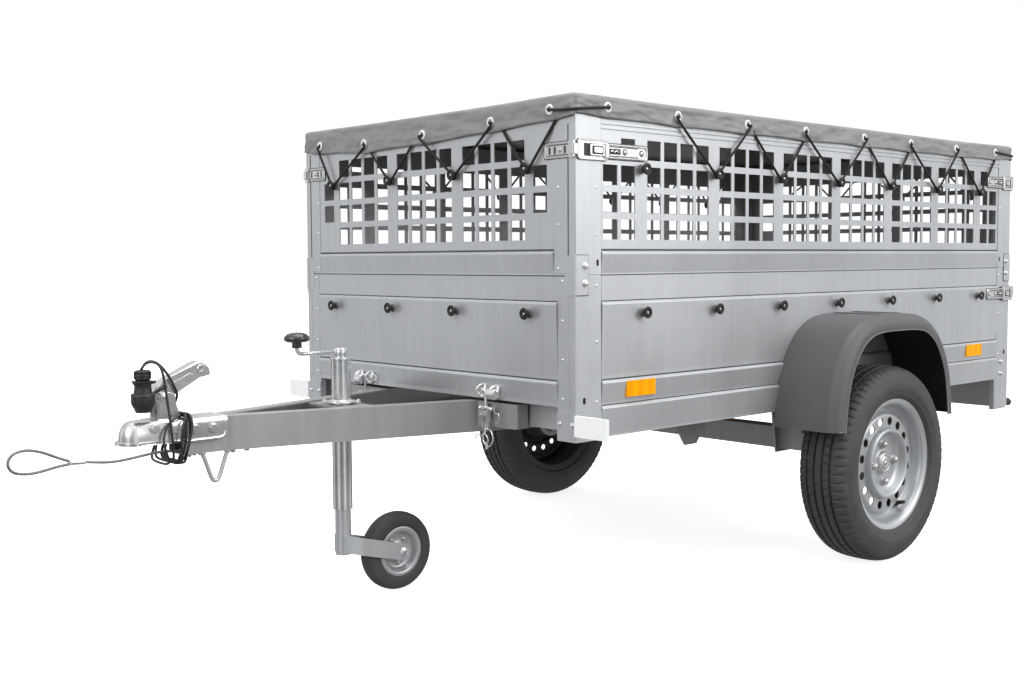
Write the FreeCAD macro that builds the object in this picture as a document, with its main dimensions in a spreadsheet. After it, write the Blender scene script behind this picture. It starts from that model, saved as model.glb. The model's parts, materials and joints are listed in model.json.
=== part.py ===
import FreeCAD, Part
import math
import os
import re

import Sketcher

# A single-axle tipping utility trailer with a perforated upper wall and a laced flat cover.
# The frame: X forward to the coupling, Y to the trailer's left, Z up, ground at zero.

SIZES = {
    # overall lengths
    "nose_reach": 840, "box_length": 2080, "buffer_reach": 20, "box_width": 1112,
    "wall": 16,
    # levels of the box above the ground
    "skirt_level": 430, "front_level": 503, "step_level": 502, "bead_low": 562, "bead_high": 743,
    "seam_level": 806, "bead_top": 864, "panel_top": 1205, "cover_rise": 10, "cover_skirt": 44,
    "cover_ease": 3, "cover_sheet": 4, "floor_top": 510, "floor_thick": 9, "bead_depth": 3, "bead_half": 4,
    "rail_width": 26,
    # corner posts and the plates over them
    "post_side": 84, "post_front": 59, "post_foot": 426, "rear_post_foot": 326, "upper_post": 24,
    "sheet": 3, "rim_width": 30, "panel_rim": 22, "plate_sheet": 2, "joint_leg": 32, "joint_tall": 92,
    "foot_tall": 66, "rail_back": 50, "rail_sheet": 10, "rail_foot": 440, "rail_start": 240,
    # holes of the perforated walls
    "hole_long": 48.5, "hole_tall": 47, "hole_pitch": 60.6, "row_pitch": 62.8, "row_rise": 83.5,
    "group_pitch": 273,
    # wheels
    "tyre_radius": 273.3, "tyre_width": 157, "wheel_gap": 36.5, "wheel_back": 1060.6, "rim_radius": 182.8,
    "rim_half": 60, "bead_seat": 165, "face_out": 30, "hub_radius": 62, "hub_back": 67, "stub_radius": 17,
    "hub_clear": 0.1, "cap_radius": 33, "vent_radius": 10, "vent_ring": 104,
    # axle and its brackets
    "beam_side": 60, "beam_back": 930, "beam_level": 336, "beam_inset": 126, "swing_thick": 20,
    "bracket_thick": 6, "ear_gap": 6, "pivot_back": 1090, "pivot_level": 352, "pin_radius": 8,
    "pin_clear": 0.5, "ear_radius": 20, "lug_back": 600, "lug_deep": 79,
    # drawbar
    "arm_low": 417, "arm_high": 495, "arm_flange": 40, "arm_sheet": 4, "arm_knee": 595, "arm_tip_x": 700,
    "arm_tip_y": 36, "arm_end": 880, "arm_inset": 93.6, "cross_x": 262, "cross_wide": 90, "cross_thick": 5,
    # coupling and its hand lever
    "ball_radius": 25, "ball_clear": 0.4, "socket_wall": 6, "socket_level": 449, "socket_depth": 34,
    "ball_back": 38, "neck_half": 40, "neck_low": 447, "neck_over": 12, "lip_out": 7, "lip_thick": 4,
    "throat_half": 30, "handle_half": 17, "handle_sheet": 3, "handle_gap": 0.4,
    "cheek_sheet": 3, "lever_pin_x": 748, "lever_pin_level": 552, "lever_pin": 4, "pin_play": 0.3,
    # the lead with its plug, the wire rope and the rod they hang from
    "plug_x": 786, "plug_y": 24, "strap_thick": 3, "strap_gap": 0.4, "button_radius": 5,
    "cord_radius": 2.8, "rope_radius": 2.2, "guide_radius": 4,
    "ferrule_radius": 4.6, "ferrule_back": 907, "ferrule_long": 32, "clamp_back": 672,
    "clamp_inner": 12, "clamp_outer": 24, "clamp_tall": 8, "hank_back": 680, "hank_ahead": 766,
    "hank_out": 21, "strap_tall": 11, "button_back": 14, "button_over": 18,
    # jockey wheel
    "tube_radius": 24, "tube_bore": 20.5, "leg_radius": 19.5, "tube_low": 231, "tube_high": 606,
    "leg_bore": 15.5, "leg_low": 80, "leg_high": 520, "screw_radius": 8, "nut_radius": 15,
    "jockey_radius": 100, "jockey_width": 50, "jockey_rim": 63, "trail": 160, "fork_gap": 6,
    "fork_sheet": 4, "fork_tall": 41, "fork_neck": 30, "fork_past": 18, "bolt_out": 5, "jockey_axle": 7,
    "crank_reach": 124, "knob_radius": 11, "knob_long": 52,
    # fenders
    "fender_wide": 197, "fender_half": 306, "fender_foot": 390, "fender_top": 688, "fender_sheet": 4,
    "fender_flat": 146, "fender_lean": 10, "fender_shoulder": 548, "fender_skirt": 42, "fender_round": 96,
    "fender_edge": 20, "rib_pitch": 92, "rib_wide": 26, "rib_high": 2.5,
    # tail
    "board_top": 490, "board_foot": 328, "board_gap": 14, "board_sheet": 3, "lamp_long": 210,
    "lamp_tall": 88, "lamp_deep": 26, "lamp_in": 20, "lamp_round": 9, "plate_wide": 340, "plate_tall": 90,
    "plate_deep": 6, "gate_gap": 6, "hinge_radius": 7, "hinge_pin": 4, "hinge_clear": 0.3,
    "hinge_long": 60, "hinge_cheek": 3,
    # small fittings
    "reflector_long": 100, "reflector_tall": 38, "reflector_deep": 7, "amber_level": 519,
    "amber_front": 165, "amber_rear": 188, "white_level": 441, "white_tall": 48, "latch_drop": 113,
    "gate_latch": 720, "latch_near": 28, "latch_long": 198, "latch_tall": 30, "latch_out": 11,
    "tip_latch_y": 257, "tip_plate_wide": 86, "tip_plate_tall": 40, "toggle_wide": 20, "toggle_foot": 428,
    "toggle_tall": 62, "toggle_taper": 3, "toggle_in": 5, "toggle_out": 21, "eye_radius": 13, "eye_long": 20,
    "draw_radius": 4,
    "stop_end": 347, "stop_low": 435, "stop_front": 4, "stop_deep": 40,
}

doc = FreeCAD.newDocument("Trailer")
sheet = doc.addObject("Spreadsheet::Sheet", "Sizes")
for row, (alias, size) in enumerate(SIZES.items(), start=1):
    sheet.set("A%d" % row, alias)
    sheet.set("B%d" % row, str(size))
    sheet.setAlias("B%d" % row, alias)
doc.recompute()

NODES = []

# Places that follow from the driving sizes, measured in the trailer's frame.
FRONT = "((box_length + buffer_reach - nose_reach) / 2)"
REAR = "(%s - box_length)" % FRONT
HALF = "(box_width / 2)"
INNER = "(box_width / 2 - wall)"
WHEEL_X = "(%s - wheel_back)" % FRONT
BEAM_X = "(%s - beam_back)" % FRONT
PIVOT_X = "(%s - pivot_back)" % FRONT
JOCKEY_X = "(%s + cross_x)" % FRONT
BALL_X = "(%s + nose_reach - ball_back)" % FRONT
ARM_END_Y = "(box_width / 2 - arm_inset)"
ARM_SLOPE = "((%s - arm_tip_y) / (arm_knee + arm_end))" % ARM_END_Y
TRACK = "(box_width / 2 + wheel_gap + tyre_width / 2)"
ROW_LEVEL = "(seam_level + row_rise)"
FLOOR_UNDER = "(floor_top - floor_thick)"
NECK_TOP = "(arm_high + arm_sheet)"
FENDER_Y = "(%s + fender_wide)" % HALF


def bound(text):
    """The expression with each size's name turned into a reference to its cell."""
    return re.sub(r"\b[a-z_]+\b", lambda word: "Sizes." * (word[0] in SIZES) + word[0], text)


def size(text):
    """The number that an expression has now."""
    return float(sheet.evalExpression(bound(text)))


def bind(thing, path, text):
    thing.setExpression(path, bound(text))


def node(thing, name):
    """Keep an object as one sub-part of the trailer."""
    thing.Label = name
    NODES.append(thing)
    return thing


def plane(body, role):
    return [p for p in body.Origin.OriginFeatures if p.Role == role][0]


def drawing(body, role, offset, loops):
    """A sketch on an origin plane, each corner and each circle held by bound sizes."""
    sketch = body.newObject("Sketcher::SketchObject", "Outline")
    sketch.AttachmentSupport = [(plane(body, role), "")]
    sketch.MapMode = "FlatFace"
    bind(sketch, "AttachmentOffset.Base.z", offset)
    for loop in loops:
        if loop[0] == "circle":
            circle(sketch, *loop[1:])
        else:
            corners(sketch, loop)
    return sketch


def circle(sketch, across, up, radius):
    centre = FreeCAD.Vector(size(across), size(up), 0)
    ring = sketch.addGeometry(Part.Circle(centre, FreeCAD.Vector(0, 0, 1), size(radius)), False)
    fix(sketch, [(("Radius", ring), radius)] + spot(ring, 3, across, up))


def spot(geometry, point, across, up):
    """The two distances that hold a point of a sketch."""
    return [(("DistanceX", -1, 1, geometry, point), across), (("DistanceY", -1, 1, geometry, point), up)]


def fix(sketch, holds, ties=()):
    """Add the ties and the measured constraints, and bind each measure to its sizes."""
    made = [Sketcher.Constraint(*(tie)) for tie in ties]
    sizes = [(axis_tie(where) if text == "0" else Sketcher.Constraint(*where, size(text)), text)
             for where, text in holds]
    numbers = sketch.addConstraint(made + [constraint for constraint, text in sizes])
    for number, (constraint, text) in zip(numbers[len(made):], sizes):
        if text != "0":
            sketch.setExpression("Constraints[%d]" % number, bound(text))


def axis_tie(where):
    axis = -2 if where[0] == "DistanceX" else -1
    return Sketcher.Constraint("PointOnObject", where[3], where[4], axis)


def corners(sketch, loop):
    spots = [FreeCAD.Vector(size(u), size(v), 0) for u, v in loop]
    lines = sketch.addGeometry([Part.LineSegment(first, second)
                                for first, second in zip(spots, spots[1:] + spots[:1])], False)
    ties = [("Coincident", line, 2, following, 1) for line, following in zip(lines, lines[1:] + lines[:1])]
    holds = []
    for line, (u, v) in zip(lines, loop):
        holds += spot(line, 1, u, v)
    fix(sketch, holds, ties)


OFFSETS = {"XY_Plane": "(%s)", "XZ_Plane": "-(%s)", "YZ_Plane": "(%s)"}


def slab(name, role, low, high, loops):
    """A body padded from one level to another, square to an origin plane."""
    body = doc.addObject("PartDesign::Body", name)
    start = high if role == "XZ_Plane" else low
    sketch = drawing(body, role, OFFSETS[role] % start, loops)
    pad = body.newObject("PartDesign::Pad", "Pad")
    pad.Profile = sketch
    bind(pad, "Length", "(%s) - (%s)" % (high, low))
    body.Tip = pad
    return body


def pocket(body, role, low, high, loops):
    """Cut the loops out of a body between two levels."""
    start = low if role == "XZ_Plane" else high
    sketch = drawing(body, role, OFFSETS[role] % start, loops)
    cut = body.newObject("PartDesign::Pocket", "Pocket")
    cut.Profile = sketch
    bind(cut, "Length", "(%s) - (%s)" % (high, low))
    body.Tip = cut
    return cut


def turned(name, role, loops, axis="V_Axis", origin=None):
    """A body turned about an axis of its sketch; origin moves it to its place."""
    body = doc.addObject("PartDesign::Body", name)
    sketch = drawing(body, role, "0", loops)
    turn = body.newObject("PartDesign::Revolution", "Turned")
    turn.Profile = sketch
    turn.ReferenceAxis = (sketch, [axis])
    turn.Angle = 360
    body.Tip = turn
    if origin:
        moved(body, origin)
    return body


def moved(thing, origin):
    for letter, text in zip("xyz", origin):
        bind(thing, "Placement.Base.%s" % letter, text)
    return thing


def block(name, x, y, z):
    """A box between two levels on each axis."""
    thing = doc.addObject("Part::Box", name)
    for side, (low, high) in zip(("Length", "Width", "Height"), (x, y, z)):
        bind(thing, side, "(%s) - (%s)" % (high, low))
    return moved(thing, (x[0], y[0], z[0]))


AIM = {"x": FreeCAD.Rotation(FreeCAD.Vector(0, 1, 0), 90),
       "y": FreeCAD.Rotation(FreeCAD.Vector(1, 0, 0), -90),
       "z": FreeCAD.Rotation()}


def rod(name, axis, origin, radius, length):
    thing = doc.addObject("Part::Cylinder", name)
    bind(thing, "Radius", radius)
    bind(thing, "Height", length)
    thing.Placement = FreeCAD.Placement(FreeCAD.Vector(), AIM[axis])
    return moved(thing, origin)


def joined(name, things):
    thing = doc.addObject("Part::MultiFuse", name)
    thing.Shapes = things
    return thing


def group(name, things):
    """Several solids kept as one sub-part."""
    thing = doc.addObject("Part::Compound", name)
    thing.Links = things
    return thing


def less(name, base, tool):
    thing = doc.addObject("Part::Cut", name)
    thing.Base = base
    thing.Tool = tool
    return thing


def mirrored(name, thing):
    """The same piece on the other side of the trailer."""
    copy = doc.addObject("Part::Mirroring", name)
    copy.Source = thing
    copy.Normal = (0, 1, 0)
    copy.Base = (0, 0, 0)
    return copy


def both_sides(name, things):
    """One node with the pieces of the left side and their mirror images."""
    left = things[0] if len(things) == 1 else group(name + "_left", things)
    return node(group(name, [left, mirrored(name + "_right", left)]), name)


def rounded(body, radius, wanted):
    """Round the edges of the body's tip that a test picks."""
    doc.recompute()
    base = body.Tip
    names = ["Edge%d" % number for number, edge in enumerate(base.Shape.Edges, start=1) if wanted(edge)]
    fillet = body.newObject("PartDesign::Fillet", "Round")
    fillet.Base = (base, names)
    bind(fillet, "Radius", radius)
    body.Tip = fillet
    return body


def ends(edge):
    return [vertex.Point for vertex in edge.Vertexes]


def crosswise(edge):
    """Whether an edge runs straight across the trailer."""
    points = ends(edge)
    return len(points) == 2 and abs(abs((points[1] - points[0]).y) - edge.Length) < 0.001


def rectangle(u0, u1, v0, v1):
    return [(u0, v0), (u1, v0), (u1, v1), (u0, v1)]


def notch(face, level, inward):
    """Three corners of a pressed bead, on an outline that runs upwards."""
    return [(face, "%s - bead_half" % level), ("%s %s bead_depth" % (face, inward), level),
            (face, "%s + bead_half" % level)]


# the box: floor, walls, posts and perforated panels

def floor():
    node(block("floor_panel", ("%s + wall" % REAR, "%s - wall" % FRONT),
               ("-%s" % INNER, INNER), (FLOOR_UNDER, "floor_top")), "floor_panel")


def wall_outline(face, inner, inward, foot):
    levels = ["step_level", "bead_low", "bead_high"]
    if foot == "front_level":
        levels = levels[1:]
    outline = [(face, foot)]
    for level in levels:
        outline += notch(face, level, inward)
    return outline + [(face, "seam_level"), (inner, "seam_level"), (inner, foot)]


def side_walls():
    start = "%s + post_side" % REAR
    end = "%s - post_side" % FRONT
    wall = slab("side_wall_left", "YZ_Plane", start, end,
                [wall_outline(HALF, INNER, "-", "skirt_level")])
    node(wall, "side_wall_left")
    node(mirrored("side_wall_right", wall), "side_wall_right")
    rail = block("side_rail", (start, end), ("%s - rail_width" % HALF, INNER),
                 ("skirt_level", FLOOR_UNDER))
    front = block("front_rail", ("%s - rail_back - rail_sheet" % FRONT, "%s - rail_back" % FRONT),
                  ("rail_start", "%s - rail_width" % HALF), ("rail_foot", FLOOR_UNDER))
    both_sides("side_rails", [rail])
    both_sides("front_rails", [front])


def front_wall():
    body = doc.addObject("PartDesign::Body", "front_wall")
    face = FRONT
    inner = "%s - wall" % FRONT
    sketch = drawing(body, "XZ_Plane", "-(%s - post_front)" % HALF,
                     [wall_outline(face, inner, "-", "front_level")])
    pad = body.newObject("PartDesign::Pad", "Pad")
    pad.Profile = sketch
    bind(pad, "Length", "2 * (%s - post_front)" % HALF)
    body.Tip = pad
    node(body, "front_wall")


def corner_angle(name, x_face, x_sign, side, front, low, high):
    """An L-shaped post: one leg along the side, one across the end."""
    x_in = "%s %s wall" % (x_face, x_sign)
    x_far = "%s %s %s" % (x_face, x_sign, side)
    y_near = "%s - %s" % (HALF, front)
    return slab(name, "XY_Plane", low, high,
                [[(x_face, y_near), (x_face, HALF), (x_far, HALF), (x_far, INNER), (x_in, INNER),
                  (x_in, y_near)]])


def corner_posts():
    front = corner_angle("front_post", FRONT, "-", "post_side", "post_front", "post_foot", "seam_level")
    rear = block("rear_post", (REAR, "%s + post_side" % REAR), (INNER, HALF),
                 ("rear_post_foot", "seam_level"))
    both_sides("corner_posts", [front, rear])


def corner_plate(name, face, sign, side_leg, end_leg, low, high):
    """A pressed angle on the outside of a corner: one leg on the side, one on the end."""
    out = "-" if sign == "+" else "+"
    skin_x = "%s %s plate_sheet" % (face, out)
    skin_y = "%s + plate_sheet" % HALF
    far_x = "%s %s %s" % (face, sign, side_leg)
    far_y = "%s - %s" % (HALF, end_leg)
    return slab(name, "XY_Plane", low, high,
                [[(face, far_y), (face, HALF), (far_x, HALF), (far_x, skin_y), (skin_x, skin_y),
                  (skin_x, far_y)]])


def corner_plates():
    """The angles that join the upper panels to the posts, and the ones on the front posts' feet."""
    low = "seam_level - joint_tall / 2"
    high = "seam_level + joint_tall / 2"
    plates = [corner_plate("joint_front", FRONT, "-", "joint_leg", "joint_leg", low, high),
              corner_plate("joint_rear", REAR, "+", "joint_leg", "joint_leg", low, high),
              corner_plate("foot_front", FRONT, "-", "post_side", "post_front", "post_foot",
                           "post_foot + foot_tall")]
    both_sides("corner_plates", plates)


def holes(body, role, low, high, across, columns, groups, rows, level):
    """Cut a field of rectangular holes: columns and rows, repeated in groups along the wall."""
    loops = []
    for column in range(columns):
        for row in range(rows):
            left = "%s + %d * hole_pitch" % (across, column)
            foot = "%s + %d * row_pitch" % (level, row)
            loops.append(rectangle(left, "%s + hole_long" % left, foot, "%s + hole_tall" % foot))
    cut = pocket(body, role, low, high, loops)
    if groups > 1:
        repeat = body.newObject("PartDesign::LinearPattern", "HoleField")
        repeat.Originals = [cut]
        repeat.Direction = (cut.Profile[0], ["H_Axis"])
        repeat.Occurrences = groups
        bind(repeat, "Length", "%d * group_pitch" % (groups - 1))
        body.Tip = repeat


GROUP_WIDE = "(3 * hole_pitch + hole_long)"


def mesh_side():
    """A side panel with its folded rims, corner posts and a field of holes in groups of four."""
    middle = "((%s + %s) / 2)" % (FRONT, REAR)
    body = slab("mesh_panel_left", "YZ_Plane", REAR, FRONT,
                [[(HALF, "seam_level")] + notch(HALF, "bead_top", "-")
                 + [(HALF, "panel_top"), (INNER, "panel_top"), (INNER, "seam_level")]])
    window = rectangle("%s + post_side" % REAR, "%s - post_side" % FRONT,
                       "seam_level + panel_rim", "panel_top - rim_width")
    pocket(body, "XZ_Plane", INNER, "%s - sheet" % HALF, [window])
    first = "%s - 2.5 * group_pitch - %s / 2" % (middle, GROUP_WIDE)
    holes(body, "XZ_Plane", INNER, "%s + 1" % HALF, first, 4, 6, 4, ROW_LEVEL)
    # the two inner columns of the half groups beside the posts
    inner_first = "%s - 3.5 * group_pitch + hole_pitch / 2 - hole_long / 2 + hole_pitch" % middle
    holes(body, "XZ_Plane", INNER, "%s + 1" % HALF, inner_first, 1, 1, 4, ROW_LEVEL)
    outer_first = "%s + 3.5 * group_pitch - hole_pitch / 2 - hole_long / 2 - hole_pitch" % middle
    holes(body, "XZ_Plane", INNER, "%s + 1" % HALF, outer_first, 1, 1, 4, ROW_LEVEL)
    holes(body, "XZ_Plane", INNER, "%s + 1" % HALF,
          "%s - 3.5 * group_pitch + hole_pitch / 2 - hole_long / 2" % middle, 1, 1, 3, ROW_LEVEL)
    holes(body, "XZ_Plane", INNER, "%s + 1" % HALF,
          "%s + 3.5 * group_pitch - hole_pitch / 2 - hole_long / 2" % middle, 1, 1, 3, ROW_LEVEL)
    node(body, "mesh_panel_left")
    node(mirrored("mesh_panel_right", body), "mesh_panel_right")


def mesh_end(name, face, sign):
    """An end panel between the side panels, with three groups of holes."""
    inner = "%s %s wall" % (face, sign)
    low, high = (inner, face) if sign == "-" else (face, inner)
    body = slab(name, "XZ_Plane", "-(%s)" % INNER, INNER,
                [[(face, "seam_level")] + notch(face, "bead_top", sign)
                 + [(face, "panel_top"), (inner, "panel_top"), (inner, "seam_level")]])
    window_y = "(%s - upper_post - panel_rim)" % HALF
    skin = "%s %s sheet" % (face, sign)
    cut = (inner, skin) if sign == "-" else (skin, inner)
    pocket(body, "YZ_Plane", cut[0], cut[1],
           [rectangle("-%s" % window_y, window_y, "seam_level + panel_rim", "panel_top - rim_width")])
    reach = ("%s" % low, "%s + 1" % high) if sign == "-" else ("%s - 1" % low, high)
    holes(body, "YZ_Plane", reach[0], reach[1], "-group_pitch - %s / 2" % GROUP_WIDE, 4, 3, 4, ROW_LEVEL)
    for first in ("-1.5 * group_pitch - hole_pitch / 2 - hole_long / 2",
                  "1.5 * group_pitch + hole_pitch / 2 - hole_long / 2"):
        holes(body, "YZ_Plane", reach[0], reach[1], first, 1, 1, 2, ROW_LEVEL + " + row_pitch")
    node(body, name)


def tailgate():
    """The rear lower wall, hinged on two pins along its foot."""
    body = doc.addObject("PartDesign::Body", "tailgate_sheet")
    inner = "%s + wall" % REAR
    end = "(%s - gate_gap)" % INNER
    sketch = drawing(body, "XZ_Plane", "-%s" % end,
                     [[(REAR, "floor_top")] + notch(REAR, "bead_low", "+") + notch(REAR, "bead_high", "+")
                      + [(REAR, "seam_level - gate_gap"), (inner, "seam_level - gate_gap"),
                         (inner, "floor_top")]])
    pad = body.newObject("PartDesign::Pad", "Pad")
    pad.Profile = sketch
    bind(pad, "Length", "2 * %s" % end)
    body.Tip = pad
    barrel = rod("barrel", "y", (REAR, "%s - hinge_long" % end, "floor_top"), "hinge_radius", "hinge_long")
    bore = rod("barrel_bore", "y", (REAR, "%s - hinge_long - 1" % end, "floor_top"),
               "hinge_pin + hinge_clear", "hinge_long + 2")
    leaf = joined("tailgate_leaf", [body, barrel, mirrored("barrel_right", barrel)])
    node(less("tailgate", leaf, joined("bores", [bore, mirrored("bore_right", bore)])), "tailgate")
    cheek = rod("cheek", "y", (REAR, "%s - hinge_cheek" % INNER, "floor_top"), "hinge_radius + 2",
                "hinge_cheek")
    pin = rod("gate_pin", "y", (REAR, "%s - hinge_long + 4" % end, "floor_top"), "hinge_pin",
              "gate_gap + hinge_long - 4")
    both_sides("gate_hinges", [joined("gate_hinge", [cheek, pin])])
    keeper = block("keeper", ("%s - 4" % REAR, REAR), ("%s - 84" % end, "%s - 8" % end),
                   ("gate_latch - 16", "gate_latch + 16"))
    both_sides("gate_keepers", [keeper])


# the chassis: drawbar, coupling, axle and brackets

def arm_line(back, inward):
    """The y of a line parallel to the arm's web, at a distance behind the box's front."""
    return "(%s - %s * (arm_end - (%s)) - (%s))" % (ARM_END_Y, ARM_SLOPE, back, inward)


def drawbar():
    cut_in = "(arm_knee - (arm_flange - arm_tip_y + 2) / %s)" % ARM_SLOPE
    plan = [("%s + arm_tip_x" % FRONT, "arm_tip_y"), ("%s + arm_knee" % FRONT, "arm_tip_y"),
            ("%s - arm_end" % FRONT, arm_line("arm_end", "0")),
            ("%s - arm_end" % FRONT, arm_line("arm_end", "arm_flange")),
            ("%s + %s" % (FRONT, cut_in), "2"), ("%s + arm_tip_x" % FRONT, "2")]
    arm = slab("drawbar_arm", "XY_Plane", "arm_low", "arm_high", [plan])
    inner = [("%s + arm_tip_x + 1" % FRONT, "arm_tip_y - arm_sheet"),
             ("%s + arm_knee" % FRONT, "arm_tip_y - arm_sheet"),
             ("%s - arm_end - 1" % FRONT, arm_line("arm_end + 1", "arm_sheet")),
             ("%s - arm_end - 1" % FRONT, arm_line("arm_end + 1", "arm_flange + 1")),
             ("%s + %s" % (FRONT, cut_in), "1"), ("%s + arm_tip_x + 1" % FRONT, "1")]
    pocket(arm, "XY_Plane", "arm_low + arm_sheet", "arm_high - arm_sheet", [inner])
    both_sides("drawbar_arms", [arm])


def cross_member():
    """Two plates between the arms that hold the jockey wheel's tube."""
    ahead = "cross_x + cross_wide / 2"
    behind = "cross_x - cross_wide / 2"
    plates = []
    for low in ("arm_low + arm_sheet", "arm_high - arm_sheet - cross_thick"):
        front_y = arm_line("-(%s)" % ahead, "arm_sheet")
        rear_y = arm_line("-(%s)" % behind, "arm_sheet")
        plan = [("%s + %s" % (FRONT, ahead), front_y), ("%s + %s" % (FRONT, behind), rear_y),
                ("%s + %s" % (FRONT, behind), "-" + rear_y), ("%s + %s" % (FRONT, ahead), "-" + front_y)]
        plates.append(slab("cross_plate", "XY_Plane", low, "%s + cross_thick" % low,
                           [plan, ("circle", JOCKEY_X, "0", "tube_radius")]))
    node(group("cross_member", plates), "cross_member")


def axle():
    half = "(%s - beam_inset)" % TRACK
    beam = block("axle_beam", ("%s - beam_side / 2" % BEAM_X, "%s + beam_side / 2" % BEAM_X),
                 ("-%s" % half, half), ("beam_level - beam_side / 2", "beam_level + beam_side / 2"))
    node(beam, "axle_beam")
    high = "%s + swing_thick" % half
    drop = "tyre_radius"
    outline = [("%s + 34" % BEAM_X, "beam_level - 22"), ("%s + 34" % BEAM_X, "beam_level + 22"),
               ("%s + 12" % BEAM_X, "beam_level + 38"), ("%s - 24" % BEAM_X, "beam_level + 34"),
               ("%s - 20" % WHEEL_X, "%s + 24" % drop), ("%s - 30" % WHEEL_X, "%s" % drop),
               ("%s - 14" % WHEEL_X, "%s - 27" % drop), ("%s + 16" % WHEEL_X, "%s - 27" % drop),
               ("%s + 16" % BEAM_X, "beam_level - 36")]
    arm = rounded(slab("swing_arm", "XZ_Plane", half, high, [outline]), "6", crosswise)
    stub = rod("stub", "y", (WHEEL_X, high, "tyre_radius"), "stub_radius",
               "%s + face_out - 12 - (%s)" % (TRACK, high))
    both_sides("swing_arms", [joined("swing_arm_and_stub", [arm, stub])])


def axle_brackets():
    y0 = ARM_END_Y
    y1 = "%s + bracket_thick" % ARM_END_Y
    outline = [("%s + 62" % BEAM_X, "arm_high - 6"), ("%s + 62" % BEAM_X, "arm_low - 4"),
               ("%s + 44" % BEAM_X, "beam_level - 40"), ("%s - 40" % BEAM_X, "beam_level - 40"),
               ("%s - ear_radius" % PIVOT_X, "pivot_level - ear_radius"),
               ("%s - ear_radius" % PIVOT_X, "pivot_level + 34"), ("%s - 40" % BEAM_X, "arm_high - 6")]
    seat = rectangle("%s - beam_side / 2" % BEAM_X, "%s + beam_side / 2" % BEAM_X,
                     "beam_level - beam_side / 2", "beam_level + beam_side / 2")
    plate = slab("axle_bracket", "XZ_Plane", y0, y1, [outline, seat])
    pin = rod("tip_pin", "y", (PIVOT_X, y1, "pivot_level"), "pin_radius", "ear_gap + bracket_thick + 8")
    lug_x = "%s - lug_back" % FRONT
    lug = slab("damper_lug", "XZ_Plane", arm_line("lug_back", "arm_sheet"), arm_line("lug_back", "0"),
               [[("%s + 65" % lug_x, "arm_low"), ("%s + 10" % lug_x, "arm_low - lug_deep"),
                 ("%s - 40" % lug_x, "arm_low - lug_deep"), ("%s - 100" % lug_x, "arm_low")]])
    both_sides("axle_brackets", [joined("bracket_and_pin", [plate, pin]), lug])


def tip_ears():
    """The plates under the floor that turn on the tipping pins."""
    low = "%s + bracket_thick + ear_gap" % ARM_END_Y
    high = "%s + bracket_thick" % low
    plate = slab("ear_plate", "XZ_Plane", low, high,
                 [[("%s + ear_radius" % PIVOT_X, "pivot_level"),
                   ("%s + ear_radius" % PIVOT_X, FLOOR_UNDER),
                   ("%s - 3 * ear_radius" % PIVOT_X, FLOOR_UNDER),
                   ("%s - ear_radius" % PIVOT_X, "pivot_level")]])
    eye = rod("ear_eye", "y", (PIVOT_X, low, "pivot_level"), "ear_radius", "bracket_thick")
    bore = rod("ear_bore", "y", (PIVOT_X, "%s - 1" % low, "pivot_level"), "pin_radius + pin_clear",
               "bracket_thick + 2")
    both_sides("tip_ears", [less("ear", joined("ear_whole", [plate, eye]), bore)])


def coupling():
    """The pressed ball head: a channel over the drawbar, a throat, and the cup with its blind socket."""
    end = "%s + arm_tip_x + neck_over" % FRONT
    channel = slab("neck", "YZ_Plane", "%s + arm_knee" % FRONT, end,
                   [[("-neck_half", "neck_low"), ("-neck_half", NECK_TOP), ("neck_half", NECK_TOP),
                     ("neck_half", "neck_low"), ("arm_tip_y", "neck_low"), ("arm_tip_y", "arm_high"),
                     ("-arm_tip_y", "arm_high"), ("-arm_tip_y", "neck_low")]])
    throat = doc.addObject("PartDesign::Body", "throat")
    sections = []
    for place_x, half, high in (("%s - 4" % end, "neck_half", NECK_TOP),
                                ("(%s + %s) / 2" % (end, BALL_X), "throat_half + 4", "%s - 1" % NECK_TOP),
                                (BALL_X, "throat_half", "%s - 9" % NECK_TOP)):
        outline = rectangle("-(%s)" % half, half, "socket_level", high)
        sections.append(drawing(throat, "YZ_Plane", place_x, [outline]))
    loft = throat.newObject("PartDesign::AdditiveLoft", "Throat")
    loft.Profile = sections[0]
    loft.Sections = sections[1:]
    loft.Ruled = True
    throat.Tip = loft
    outer = "ball_radius + ball_clear + socket_wall"
    cup = turned("cup", "XZ_Plane",
                 [[("0", "socket_level"), ("ball_back", "socket_level"), ("ball_back", "socket_level + 5"),
                   ("%s + 2" % outer, "socket_level + 7"), (outer, "socket_level + 12"),
                   (outer, "socket_level + 26"), ("%s - 4" % outer, "socket_level + 39"),
                   ("%s - 13" % outer, "%s - 3" % NECK_TOP), ("0", NECK_TOP)]], origin=(BALL_X, "0", "0"))
    lip = slab("lip", "XY_Plane", "socket_level", "socket_level + lip_thick",
               [[("%s + arm_knee" % FRONT, "neck_half - 1"), ("%s + arm_knee" % FRONT, "neck_half + lip_out"),
                 (end, "neck_half + lip_out"), (BALL_X, "ball_back - 1"), (BALL_X, "throat_half - 1"),
                 (end, "neck_half - 3")]])
    cheek = cheek_plate()
    whole = joined("coupling_whole", [channel, throat, cup, lip, mirrored("lip_right", lip),
                                      cheek, mirrored("cheek_right", cheek)])
    bore = rod("socket", "z", (BALL_X, "0", "socket_level - 1"), "ball_radius + ball_clear",
               "socket_depth + 1")
    pin_hole = rod("pin_hole", "y", ("%s + lever_pin_x" % FRONT, "-neck_half", "lever_pin_level"),
                   "lever_pin + pin_play", "2 * neck_half")
    node(less("coupling_head", less("coupling_bored", whole, bore), pin_hole), "coupling_head")


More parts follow.
